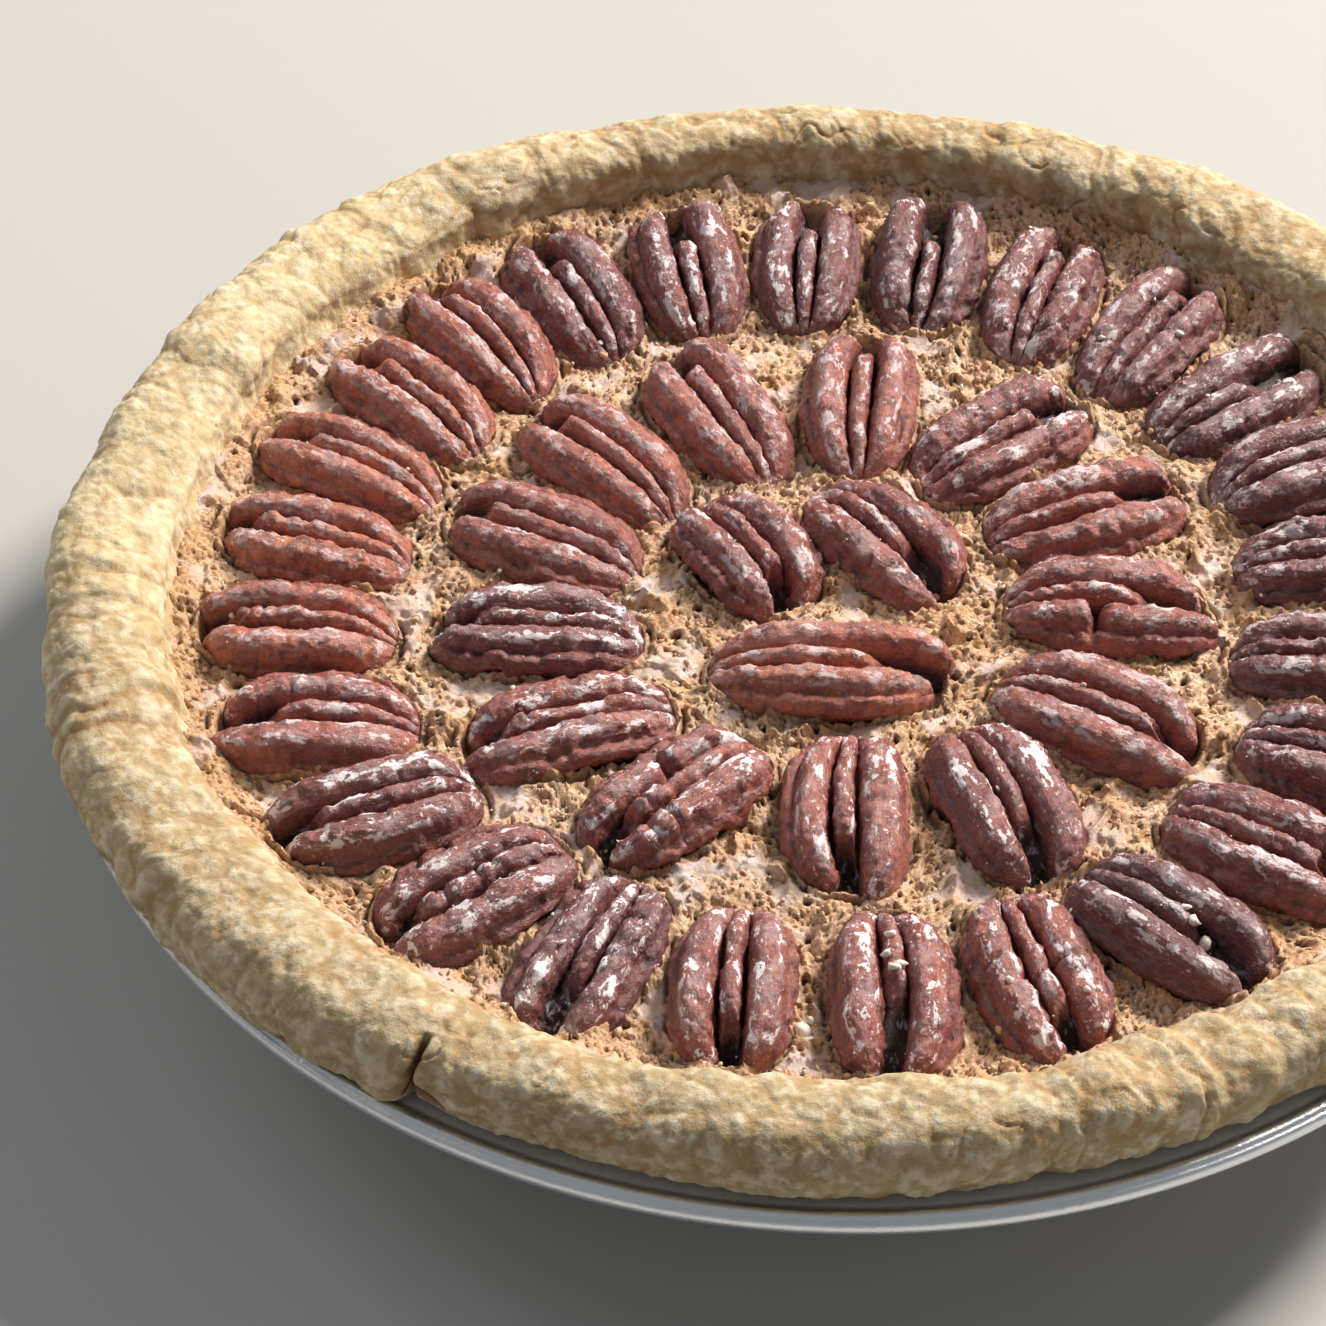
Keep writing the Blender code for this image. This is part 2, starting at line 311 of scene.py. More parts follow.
def node_points(name: str) -> Array:
    """The points of a CAD node, in metres."""
    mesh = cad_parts[name].data
    points = np.empty(len(mesh.vertices) * 3, np.float32)
    mesh.vertices.foreach_get("co", points)
    return points.reshape(-1, 3).astype(float)


# ---------------------------------------------------------------------------------------------
# Finishes
# ---------------------------------------------------------------------------------------------


class Board:
    """The node board of one new material, with its Principled shader."""

    def __init__(self, name: str) -> None:
        """Start a material of that name."""
        self.material = bpy.data.materials.new(name)
        self.material.use_nodes = True
        self.tree = self.material.node_tree
        self.shader = self.tree.nodes["Principled BSDF"]
        self.place = self.add("ShaderNodeTexCoord").outputs["Object"]

    def add(self, kind: str, **settings: object) -> bpy.types.Node:
        """Add a node and set its properties."""
        node = self.tree.nodes.new(kind)
        for key, value in settings.items():
            setattr(node, key, value)
        return node

    def wire(self, source: object, target: Socket) -> None:
        """Link a socket, or set a constant on it."""
        if isinstance(source, Socket):
            self.tree.links.new(source, target)
        else:
            target.default_value = source

    def stretched(self, place: Socket, scale: tuple[float, float, float]) -> Socket:
        """Places multiplied by a scale along each axis."""
        node = self.add("ShaderNodeMapping")
        self.wire(place, node.inputs["Vector"])
        node.inputs["Scale"].default_value = scale
        return node.outputs["Vector"]

    def carried(self, name: str) -> Socket:
        """A place carried on the mesh's points."""
        return self.add("ShaderNodeAttribute", attribute_name=name).outputs["Vector"]

    def noise(self, size: float, detail: float = 4.0, rough: float = 0.55, warp: float = 0.0,
              place: Socket | None = None) -> Socket:
        """Noise from 0 to 1.

        Args:
            size: width of its blobs in metres.
            detail: octaves.
            rough: strength of the finer octaves.
            warp: how much it is twisted.
            place: coordinates to read instead of the object's.

        Returns:
            The noise's socket.
        """
        node = self.add("ShaderNodeTexNoise")
        self.wire(place or self.place, node.inputs["Vector"])
        node.inputs["Scale"].default_value = 1.0 / size
        node.inputs["Detail"].default_value = detail
        node.inputs["Roughness"].default_value = rough
        node.inputs["Distortion"].default_value = warp
        return node.outputs["Fac"]

    def blots(self, size: float, detail: float, rough: float, warp: float, low: float, high: float,
              place: Socket | None = None) -> Socket:
        """Blots of noise of a size in millimetres, 0 where it lies below low and 1 above high."""
        return self.ramp(self.noise(size * MM, detail, rough, warp, place), low, high)

    def dots(self, size: float, reach: float) -> Socket:
        """Round dots, 1 at their middles and 0 beyond a reach, one in each cell of a size in metres."""
        node = self.add("ShaderNodeTexVoronoi", feature="F1")
        self.wire(self.place, node.inputs["Vector"])
        node.inputs["Scale"].default_value = 1.0 / size
        return self.ramp(node.outputs["Distance"], reach, 0.0)

    def mark(self, name: str) -> Socket:
        """A number carried on the mesh's points."""
        return self.add("ShaderNodeAttribute", attribute_name=name).outputs["Fac"]

    def ramp(self, source: object, low: float, high: float, start: float = 0.0,
             finish: float = 1.0) -> Socket:
        """Map low..high smoothly onto start..finish; low may be the larger one."""
        node = self.add("ShaderNodeMapRange", interpolation_type="SMOOTHSTEP")
        self.wire(source, node.inputs["Value"])
        falling = low > high
        bounds = (high, low, finish, start) if falling else (low, high, start, finish)
        for key, value in zip(("From Min", "From Max", "To Min", "To Max"), bounds):
            node.inputs[key].default_value = value
        return node.outputs["Result"]

    def maths(self, action: str, first: object, second: object) -> Socket:
        """Combine two numbers, kept from 0 to 1."""
        node = self.add("ShaderNodeMath", operation=action, use_clamp=True)
        self.wire(first, node.inputs[0])
        self.wire(second, node.inputs[1])
        return node.outputs["Value"]

    def times(self, first: object, second: object) -> Socket:
        """The product of two numbers."""
        return self.maths("MULTIPLY", first, second)

    def larger(self, first: object, second: object) -> Socket:
        """The larger of two numbers."""
        return self.maths("MAXIMUM", first, second)

    def layers(self, under: object, *layers: tuple[object, ...]) -> object:
        """Lay colours over one another; a layer is some shares, which are multiplied, and its colour."""
        for *shares, over in layers:
            under = self.mix(reduce(self.times, shares), under, over)
        return under

    def mix(self, share: object, under: object, over: object) -> Socket:
        """Mix a colour over another by a share."""
        node = self.add("ShaderNodeMix", data_type="RGBA", blend_type="MIX")
        factor, *_ = node.inputs
        colours = [socket for socket in node.inputs if socket.type == "RGBA"]
        self.wire(share, factor)
        for source, socket in zip((under, over), colours):
            self.wire((*source, 1.0) if isinstance(source, tuple) else source, socket)
        return next(socket for socket in node.outputs if socket.type == "RGBA")

    def bump(self, height: object, depth: float, under: Socket | None = None) -> Socket:
        """Raise the surface by a height from 0 to 1 times a depth in metres, over an earlier bump."""
        node = self.add("ShaderNodeBump")
        node.inputs["Strength"].default_value = 1.0
        node.inputs["Distance"].default_value = depth
        self.wire(height, node.inputs["Height"])
        if under is not None:
            self.wire(under, node.inputs["Normal"])
        return node.outputs["Normal"]

    def coat(self, **values: object) -> None:
        """Wire or set the shader's sockets, named with underscores for spaces."""
        for key, value in values.items():
            socket = self.shader.inputs[key.replace("_", " ")]
            self.wire((*value, 1.0) if isinstance(value, tuple) and len(value) == 3 and socket.type == "RGBA"
                      else value, socket)


@dataclass(frozen=True)
class Finish:
    """A surface that is made once and shared."""

    name: str

    def material(self) -> bpy.types.Material:
        """The finish's material, made the first time it is asked for."""
        return bpy.data.materials.get(self.name) or self.make()

    def make(self) -> bpy.types.Material:
        """Make the material."""
        raise NotImplementedError


@dataclass(frozen=True)
class PastryFinish(Finish):
    """Dry, flaky pastry from the oven: cream where it is pale, golden in patches, browner at the front partly
    from the bake and partly as painted shade, pale yellow on the left as painted sunlight, brown in the
    creases and hollows as painted shade that is partly toasting, and floury on the crests as painted
    highlight that is partly flour.
    """

    name: str = "baked_pastry"
    cream: Colour = (0.61, 0.50, 0.31)
    golden: Colour = (0.52, 0.34, 0.135)
    amber: Colour = (0.50, 0.265, 0.078)
    # Brown for real flecks, and for painted shade in creases and hollows.
    toasted_and_shade: Colour = (0.25, 0.130, 0.050)
    floury: Colour = (0.80, 0.73, 0.56)
    grey: Colour = (0.46, 0.40, 0.28)
    # Brown for the front: partly real bake, partly painted shade.
    browned_and_shaded: Colour = (0.34, 0.25, 0.135)
    # Pale yellow for painted sunlight on the left.
    painted_sunlight: Colour = (0.78, 0.655, 0.39)
    shadow: Colour = (0.030, 0.014, 0.006)

    def make(self) -> bpy.types.Material:
        """Mottle the colours by noise at seven sizes, brown the front with painted shade that is partly a
        real uneven bake, yellow the left with painted sunlight, and mark creases and hollows with painted
        shade, crests with painted highlight, and flakes.
        """
        board = Board(self.name)
        broad = board.blots(13, 4.0, 0.6, 0.4, 0.40, 0.62)
        pallid = board.blots(9, 4.0, 0.6, 0.4, 0.50, 0.64)
        patch = board.blots(3.8, 6.0, 0.68, 0.4, 0.46, 0.60)
        fleck = board.blots(2.1, 5.0, 0.68, 0.3, 0.52, 0.62)
        speck = board.blots(0.7, 3.0, 0.65, 0.0, 0.56, 0.68)
        dust = board.blots(2.8, 6.0, 0.68, 0.3, 0.50, 0.63)
        orange = board.blots(7.0, 5.0, 0.65, 0.5, 0.54, 0.66)
        bake_and_shade = board.mark("bake_and_shade")
        # Flecks and specks thicken towards the front with the same share, partly as painted shade.
        spotted = board.ramp(bake_and_shade, 0.0, 1.0, 0.20, 0.40)
        colour = board.layers(
            self.cream,
            # Grey patches grow towards the front: partly painted shade.
            (pallid, board.ramp(bake_and_shade, 0.0, 1.0, 0.30, 0.66), self.grey),
            (broad, 0.55, self.golden),
            (patch, 0.55, self.golden),
            (orange, 0.50, self.amber),
            (board.ramp(board.mark("plate"), 0.5, 0.1), 0.30, self.golden),
            # Painted shade in the hollows, partly real toasting.
            (board.mark("sunk"), 0.45, self.toasted_and_shade),
            (fleck, spotted, self.toasted_and_shade),
            (speck, spotted, self.toasted_and_shade),
            # Browner front: partly real bake, partly painted shade.
            (bake_and_shade, 0.46, self.browned_and_shaded),
            # Painted sunlight: pale yellow where the front's browner share is lowest, on the left.
            (board.ramp(bake_and_shade, 0.35, 0.0, 0.0, 0.34), self.painted_sunlight),
            (dust, 0.45, self.floury),
            # Painted highlight on the crests, partly flour.
            (board.mark("crest"), 0.42, self.floury),
            # Painted shade in the creases, amber then brown, partly real toasting.
            (board.mark("fold"), 0.60, self.amber),
            (board.mark("fold"), 0.42, self.toasted_and_shade),
            (board.mark("slit"), 0.93, self.shadow))
        rough = board.bump(board.noise(1.7 * MM, 6.0, 0.70, 0.3), 0.26 * MM)
        fine = board.bump(board.noise(0.42 * MM, 3.0, 0.65), 0.10 * MM, rough)
        board.coat(Base_Color=colour, Roughness=0.74, Normal=fine, Specular_IOR_Level=0.35)
        return board.material


@dataclass(frozen=True)
class FillingFinish(Finish):
    """Golden caramel crumb with pores darkened as painted shade, glossy, half-clear syrup patches tinted with
    painted reflection, raised crumbs paled as painted highlight, and hollows and the nuts' edges browned as
    painted shade.
    """

    name: str = "caramel_crumb"
    crumb: Colour = (0.70, 0.422, 0.212)
    pale: Colour = (0.82, 0.66, 0.51)
    brown: Colour = (0.39, 0.162, 0.062)
    amber: Colour = (0.60, 0.32, 0.122)
    # Near black: painted shade in the pores and in the gaps at the nuts.
    pore: Colour = (0.035, 0.014, 0.007)
    syrup: Colour = (0.74, 0.57, 0.49)
    # Mauve: painted reflection on the syrup patches.
    lilac_reflection: Colour = (0.73, 0.66, 0.72)
    rosy: Colour = (0.66, 0.37, 0.29)

    def make(self) -> bpy.types.Material:
        """Mottle the crumb, pale its raised bits as painted highlight, brown its hollows and the nuts' edges
        and fill the pores with dark as painted shade, and lay syrup with painted reflection where the mesh
        says so.
        """
        board = Board(self.name)
        broad = board.blots(7, 4.0, 0.6, 0.5, 0.42, 0.60)
        brown = board.blots(3.4, 5.0, 0.7, 0.5, 0.49, 0.60)
        rosy = board.blots(5.0, 4.0, 0.65, 0.4, 0.50, 0.62)
        grain = board.blots(0.60, 3.0, 0.72, 0.2, 0.51, 0.59)
        dark = board.blots(0.85, 4.0, 0.70, 0.3, 0.45, 0.37)
        cloud = board.blots(2.6, 4.0, 0.6, 0.6, 0.46, 0.66)
        wet = board.blots(1.3, 4.0, 0.7, 0.3, 0.50, 0.62)
        golden = board.blots(4.4, 5.0, 0.65, 0.5, 0.51, 0.62)
        gloss = board.mark("gloss")
        dry = board.ramp(gloss, 0.9, 0.2)
        # Syrup film: its own colour clouded with mauve painted reflection.
        film_and_reflection = board.mix(cloud, self.syrup, self.lilac_reflection)
        # Small dots of painted shade as pores in the dry crumb.
        small = board.times(board.dots(0.75 * MM, 0.34), dry)
        pores = board.larger(board.mark("pore"), board.times(small, 0.85))
        colour = board.layers(
            self.crumb,
            (broad, 0.45, self.pale),
            (rosy, 0.45, self.rosy),
            (golden, 0.70, self.amber),
            (brown, 0.64, self.brown),
            # Painted highlight: raised crumbs paler.
            (board.mark("crumb"), 0.50, self.pale),
            # Painted shade: low crumb and the nuts' edges browner.
            (board.mark("deep"), 0.50, self.brown),
            (grain, dry, 0.55, self.pale),
            (dark, dry, 0.70, self.brown),
            (board.mark("skin"), 0.60, self.amber),
            # Syrup patches, with painted reflection in their colour.
            (gloss, 0.72, film_and_reflection),
            # Painted shade: pores and gaps at the nuts near black.
            (pores, self.pore))
        rough = board.bump(board.noise(0.70 * MM, 5.0, 0.75, 0.3), 0.34 * MM)
        shine = board.larger(gloss, board.times(wet, 0.8))
        board.coat(Base_Color=colour, Roughness=board.ramp(shine, 0.1, 0.9, 0.55, 0.16), Normal=rough,
                   Specular_IOR_Level=0.55)
        return board.material


@dataclass(frozen=True)
class PecanFinish(Finish):
    """Dusty red-brown nut skin with painted light: near black in its grooves and darker in its wrinkles and
    low flanks as painted shade, crisp pale streaks along the ridges that are partly a real coating and partly
    painted highlight, bluish painted reflection in the grooves, and per-half darkness that is partly painted
    light.
    """

    name: str = "bloomed_pecan"
    rust: Colour = (0.48, 0.132, 0.082)
    skin: Colour = (0.32, 0.078, 0.060)
    plum: Colour = (0.105, 0.028, 0.034)
    # Orange for painted sunlight on the halves at the left.
    ember_and_sunlight: Colour = (0.60, 0.180, 0.080)
    # Whitish coating: partly real, partly painted highlight where it is laid on the crests.
    bloom_and_highlight: Colour = (0.88, 0.80, 0.83)
    # Near black: painted shade in the grooves.
    groove: Colour = (0.020, 0.008, 0.009)
    # Bluish grey: painted reflection in the grooves.
    groove_reflection: Colour = (0.46, 0.46, 0.52)

    def make(self) -> bpy.types.Material:
        """Mix the skin's reds, warmer or darker per half as painted light, streak it pale on the ridges as
        partly painted highlight, darken the grooves, wrinkles and low flanks as painted shade, and streak the
        grooves with painted reflection.
        """
        board = Board(self.name)
        lie = board.carried("lie")
        long = board.stretched(lie, (0.50, 1.0, 1.0))
        cross = board.stretched(lie, (1.0, 0.35, 0.35))
        patch = board.blots(4.2, 4.0, 0.6, 0.5, 0.40, 0.62, long)
        dark = board.blots(2.0, 6.0, 0.68, 0.5, 0.47, 0.62, lie)
        band = board.blots(1.1, 4.0, 0.65, 0.4, 0.50, 0.62, cross)
        streak = board.blots(2.3, 6.0, 0.66, 0.25, 0.550, 0.580, long)
        fleck = board.blots(0.95, 4.0, 0.66, 0.3, 0.620, 0.650, lie)
        haze = board.blots(3.2, 5.0, 0.70, 0.4, 0.44, 0.70, long)
        strand = board.stretched(lie, (0.25, 1.0, 1.0))
        fibre = board.blots(0.45, 3.0, 0.7, 0.2, 0.4, 0.7, strand)
        # Per-half darkness share: partly the nut's own colour, partly painted light; high on the halves at
        # the right as painted shade, low on those at the left as painted sunlight.
        tone = board.ramp(board.mark("tone"), 0.35, 1.0)
        warm = board.ramp(board.mark("tone"), 0.65, 0.0)
        hot_and_sunlit = board.ramp(board.mark("tone"), 0.30, 0.0)
        ridge = board.mark("ridge")
        share = board.mark("bloom_and_highlight")
        # Crest share: the whitish coating follows the crests, partly as painted highlight.
        reach = board.ramp(ridge, 0.22, 0.80)
        crumbs = board.times(board.times(fleck, board.ramp(share, 0.3, 0.9, 0.25, 0.80)),
                             board.ramp(ridge, -0.2, 0.6))
        powder_and_highlight = board.larger(board.times(board.times(streak, reach), share), crumbs)
        deep = board.mark("groove")
        # Long streaks for the grooves' painted reflection.
        reflection_lie = board.stretched(lie, (0.35, 1.2, 1.2))
        reflection_streaks = board.blots(1.6, 5.0, 0.65, 0.3, 0.56, 0.62, reflection_lie)
        colour = board.layers(
            self.skin,
            # Rust on the halves with low shares: partly own colour, partly painted sunlight.
            (warm, 0.85, self.rust),
            # Orange on the halves with the lowest shares: painted sunlight.
            (hot_and_sunlit, 0.80, self.ember_and_sunlight),
            (patch, 0.55, self.rust),
            # Plum on the halves with high shares: partly own colour, partly painted shade.
            (tone, 0.72, self.plum),
            (dark, 0.60, self.plum),
            (band, 0.35, self.plum),
            # Painted shade in the wrinkles.
            (board.mark("fold"), 0.55, self.plum),
            # Painted shade: plum darker towards the half's bottom, where it meets the filling.
            (board.mark("flank"), 0.72, self.plum),
            # Whitish haze on the crests: partly real coating, partly painted highlight.
            (haze, 0.28, reach, self.bloom_and_highlight),
            (fibre, 0.10, self.bloom_and_highlight),
            # Whitish streaks and flecks, mostly on the crests: partly real coating, partly painted highlight.
            (powder_and_highlight, self.bloom_and_highlight),
            # Painted shade: the grooves near black.
            (deep, 0.92, self.groove),
            # Painted reflection: bluish-grey streaks in the grooves of the more coated halves.
            (reflection_streaks, deep, board.ramp(share, 0.4, 1.0), 0.75, self.groove_reflection))
        rough = board.bump(board.noise(1.0 * MM, 6.0, 0.70, 0.3, lie), 0.46 * MM)
        dull = board.larger(powder_and_highlight, board.times(deep, 0.6))
        fine = board.bump(fibre, 0.06 * MM, rough)
        glaze = board.ramp(board.noise(1.6 * MM, 4.0, 0.65, 0.3, lie), 0.44, 0.64, 0.0, 0.32)
        board.coat(Base_Color=colour, Normal=fine,
                   Roughness=board.ramp(board.larger(dull, glaze), 0.0, 0.8, 0.17, 0.56),
                   Specular_IOR_Level=0.55)
        return board.material


@dataclass(frozen=True)
class BeadFinish(Finish):
    """Clear, pale beads of syrup and grains of sugar."""

    name: str = "syrup_bead"
    clear: Colour = (0.90, 0.86, 0.84)
    amber: Colour = (0.74, 0.58, 0.46)

    def make(self) -> bpy.types.Material:
        """Mottle two sugars and keep them wet."""
        board = Board(self.name)
        tint = board.blots(4.0, 3.0, 0.55, 0.0, 0.46, 0.58)
        board.coat(Base_Color=board.mix(tint, self.clear, self.amber), Roughness=0.10, Specular_IOR_Level=0.6)
        return board.material


@dataclass(frozen=True)
class FlakeFinish(Finish):
    """Pale, floury bits of dough and nut meat."""

    name: str = "pale_flake"
    meat: Colour = (0.80, 0.70, 0.60)
    floury: Colour = (0.88, 0.83, 0.76)

    def make(self) -> bpy.types.Material:
        """Mottle the two pales and roughen them."""
        board = Board(self.name)
        tint = board.blots(0.8, 4.0, 0.55, 0.0, 0.42, 0.60)
        rough = board.bump(board.noise(0.5 * MM, 4.0, 0.7), 0.15 * MM)
        board.coat(Base_Color=board.mix(tint, self.meat, self.floury), Roughness=0.6, Normal=rough)
        return board.material


@dataclass(frozen=True)
class TinFinish(Finish):
    """Dull grey aluminium sheet, clouded and speckled, dusty on its flange and bright on its rolled edge,
    which is brighter on the front right and duller on the left as painted light.
    """

    name: str = "dull_tin"
    bright: Colour = (0.72, 0.73, 0.74)
    dull: Colour = (0.44, 0.44, 0.43)
    stained: Colour = (0.28, 0.255, 0.22)
    rolled: Colour = (0.90, 0.93, 0.96)
    dust: Colour = (0.80, 0.79, 0.76)

    def make(self) -> bpy.types.Material:
        """Cloud, speckle and stain the metal by noise, dust the flange, and brighten the rolled edge, most on
        its front right as painted light.
        """
        board = Board(self.name)
        cloud = board.blots(14, 4.0, 0.6, 0.0, 0.35, 0.7)
        speck = board.blots(0.8, 4.0, 0.7, 0.0, 0.46, 0.62)
        grime = board.blots(2.6, 5.0, 0.7, 0.5, 0.52, 0.68)
        worn_and_lit = board.mark("worn_and_lit")
        colour = board.layers(
            self.bright,
            (cloud, 0.5, self.dull),
            (speck, 0.65, self.dull),
            (grime, 0.45, self.stained),
            (board.mark("dusted"), 0.55, self.dust),
            # Bright rolled edge, brightest on the front right and duller on the left as painted light.
            (worn_and_lit, 0.88, self.rolled))
        fine = board.bump(board.noise(0.6 * MM, 4.0, 0.7), 0.08 * MM)
        bare = board.ramp(board.mark("dusted"), 0.0, 1.0, 1.0, 0.2)
        board.coat(Base_Color=colour, Metallic=bare, Normal=fine,
                   Roughness=board.ramp(worn_and_lit, 0.0, 1.0, 0.50, 0.30))
        return board.material


@dataclass(frozen=True)
class FloorFinish(Finish):
    """Plain pale matt floor."""

    name: str = "pale_floor"
    tint: Colour = (0.47, 0.46, 0.44)

    def make(self) -> bpy.types.Material:
        """One pale matt colour."""
        board = Board(self.name)
        board.coat(Base_Color=self.tint, Roughness=0.9)
        return board.material


# ---------------------------------------------------------------------------------------------
# Pecan halves
# ---------------------------------------------------------------------------------------------


@dataclass(frozen=True)
class Lobe:
    """One sausage-shaped lobe that runs along a half, in shares of the half's width and height."""

    centre: float
    half: float
    top: float
    seed: int
    spread: float = 0.0
    knobs: float = 0.3
    sinks_at: float = 2.0
    break_at: float = 9.0
    beat: float = 4.3
    slant: float = 0.3

    def swell(self, t: Array, beat: float, salt: int) -> Array:
        """Noise along the lobe, about -1 to 1, with so many beats from tip to tip."""
        places = np.stack([beat * t, 0.0 * t + 7.3 * salt, 0.0 * t + 0.5], axis=-1)
        return Grain(self.seed).at(places)

    def rise(self, s: Array, t: Array) -> Array:
        """Height of the lobe at places s across and t along.

        It is top * (1 - |d|^3)^0.5, with d the way from the lobe's middle in its own half widths.  The
        middle wanders and moves outwards towards the open end.  The top and half width swell along it, and
        slanting clefts, exp(-(noise / 0.13)^2), part it into knobs.
        """
        opening = ease(-0.3, 1.0, t)
        joined = ease(-0.45, -0.95, t)
        middle = (self.centre + math.copysign(self.spread, self.centre) * opening
                  + 0.030 * self.swell(t, 2.6, 1))
        slanting = t + self.slant * (s - self.centre)
        cleft = bell(self.swell(slanting, self.beat, 4), 0.13) * ease(-0.45, 0.35, self.swell(t, 2.1, 5))
        half = self.half * (1.0 + 0.16 * self.knobs * self.swell(t, 4.5, 2) + 0.14 * joined
                            - 0.16 * self.knobs * cleft)
        top = self.top * (1.0 + 0.24 * self.knobs * self.swell(t, 4.5, 3) - 0.30 * self.knobs * cleft)
        top = top * (1.0 - 0.80 * ease(self.sinks_at, self.sinks_at + 0.45, t))
        top = top * (1.0 - 0.75 * bell(t - self.break_at, 0.055))
        return top * np.sqrt(np.clip(1.0 - np.power(np.abs((s - middle) / half), 3.0), 0.0, 1.0))


@dataclass
class Character:
    """What sets one half apart; shares from 0 to 1 unless said otherwise."""

    left_side: float = 0.7
    right_side: float = 0.7
    ridge_sinks: float = 0.1
    spread: float = 0.03
    knobs: float = 0.5
    wrinkles: float = 0.8
    bend: float = 0.0
    notch: float = 0.10
    uneven: float = 0.0
    # Darkness share: partly own colour, partly painted light, high for painted shade and low for painted
    # sunlight.
    tone: float = 0.5
    # Share of whitish coating on the crests, partly painted highlight.
    bloom_and_highlight: float = 0.38
    breaks: tuple[float, float] = (9.0, 9.0)


# Per-half settings; the darkness shares carry painted light: high for the halves on the right as painted
# shade, low for those on the left as painted sunlight.
SPECIAL_HALVES: dict[str, dict[str, object]] = {
    "pecan_middle_03": {"knobs": 1.0, "right_side": 0.9, "breaks": (9.0, -0.05), "wrinkles": 1.0,
                        "tone": 0.4, "ridge_sinks": 0.45, "bloom_and_highlight": 1.0},
    "pecan_middle_04": {"left_side": 0.0, "right_side": 0.9, "ridge_sinks": 0.35, "spread": 0.05,
                        "tone": 0.4, "knobs": 0.25, "notch": 0.15, "uneven": -0.04, "bloom_and_highlight": 0.9},
    "pecan_middle_05": {"left_side": 0.1, "right_side": 0.5, "ridge_sinks": 0.2, "bloom_and_highlight": 1.0, "tone": 0.6,
                        "spread": 0.05, "knobs": 0.35, "wrinkles": 1.0},
    "pecan_middle_06": {"left_side": 0.2, "right_side": 0.1, "ridge_sinks": 0.7, "knobs": 0.25, "tone": 0.4},
    "pecan_middle_07": {"right_side": 0.8, "left_side": 0.1, "breaks": (9.0, -0.1), "tone": 0.35,
                        "knobs": 0.5},
    "pecan_middle_02": {"ridge_sinks": 0.7, "tone": 0.45, "knobs": 0.6, "right_side": 1.0, "bloom_and_highlight": 0.9},
    "pecan_middle_01": {"ridge_sinks": 0.6, "tone": 0.7, "knobs": 0.7, "bloom_and_highlight": 1.0},
    "pecan_middle_13": {"tone": 0.32, "ridge_sinks": 0.5, "knobs": 0.5, "bloom_and_highlight": 0.55},
    "pecan_middle_12": {"tone": 0.18, "ridge_sinks": 0.6, "knobs": 0.3, "bloom_and_highlight": 0.5},
    "pecan_middle_11": {"tone": 0.30, "bloom_and_highlight": 0.55}, "pecan_middle_10": {"tone": 0.35, "bloom_and_highlight": 0.6},
    "pecan_outer_01": {"tone": 0.32, "right_side": 1.0, "left_side": 0.2, "knobs": 0.6, "bloom_and_highlight": 0.65},
    "pecan_outer_02": {"tone": 0.65, "ridge_sinks": 0.4, "knobs": 0.4, "bend": -1.4, "bloom_and_highlight": 0.95},
    "pecan_outer_03": {"tone": 0.65, "ridge_sinks": 0.5, "knobs": 0.8, "left_side": 0.3, "right_side": 1.0,
                       "bloom_and_highlight": 0.9},
    "pecan_outer_04": {"tone": 0.85, "ridge_sinks": 0.1, "knobs": 0.9, "bloom_and_highlight": 1.0, "spread": 0.05},
    "pecan_outer_05": {"tone": 0.50, "ridge_sinks": 0.6, "bloom_and_highlight": 1.0, "knobs": 0.6, "left_side": 0.5},
    "pecan_outer_06": {"tone": 0.45, "ridge_sinks": -0.1, "bloom_and_highlight": 1.0, "left_side": 0.5, "right_side": 0.3,
                       "knobs": 0.5, "wrinkles": 1.0, "uneven": -0.03},
    "pecan_outer_07": {"tone": 0.40, "ridge_sinks": 0.4, "bloom_and_highlight": 0.9, "knobs": 1.0, "left_side": 0.6},
    "pecan_outer_08": {"tone": 0.95, "ridge_sinks": 0.0, "bloom_and_highlight": 0.7, "spread": 0.09, "knobs": 0.3},
    "pecan_outer_09": {"tone": 0.6, "ridge_sinks": 0.7, "bloom_and_highlight": 0.7, "knobs": 0.7, "left_side": 0.1},
    "pecan_outer_10": {"tone": 0.7, "ridge_sinks": 0.7, "bloom_and_highlight": 0.7},
    "pecan_outer_11": {"tone": 0.85}, "pecan_outer_12": {"tone": 0.8}, "pecan_outer_13": {"tone": 0.85},
    "pecan_outer_14": {"tone": 0.9, "ridge_sinks": -0.1}, "pecan_outer_15": {"tone": 0.75},
    "pecan_outer_16": {"tone": 0.7}, "pecan_outer_17": {"tone": 0.9}, "pecan_outer_18": {"tone": 0.8},
    "pecan_outer_21": {"tone": 0.2, "knobs": 0.6, "bloom_and_highlight": 0.5},
    "pecan_outer_22": {"tone": 0.12, "bloom_and_highlight": 0.5},
    "pecan_outer_23": {"tone": 0.0, "ridge_sinks": 0.3, "knobs": 0.5, "bloom_and_highlight": 0.4},
    "pecan_outer_24": {"tone": 0.04, "ridge_sinks": 0.6, "knobs": 0.7, "bloom_and_highlight": 0.45},
    "pecan_outer_25": {"tone": 0.12, "ridge_sinks": 0.7, "knobs": 0.6, "left_side": 0.1, "right_side": 1.0,
                       "bloom_and_highlight": 0.5},
    "pecan_centre_01": {"tone": 0.5, "bend": -1.5, "knobs": 0.5},
    "pecan_centre_02": {"tone": 0.45, "spread": 0.08, "ridge_sinks": 0.1},
    "pecan_centre_03": {"tone": 0.08, "ridge_sinks": 0.2, "knobs": 0.4, "right_side": 0.9, "bend": 1.0},
}


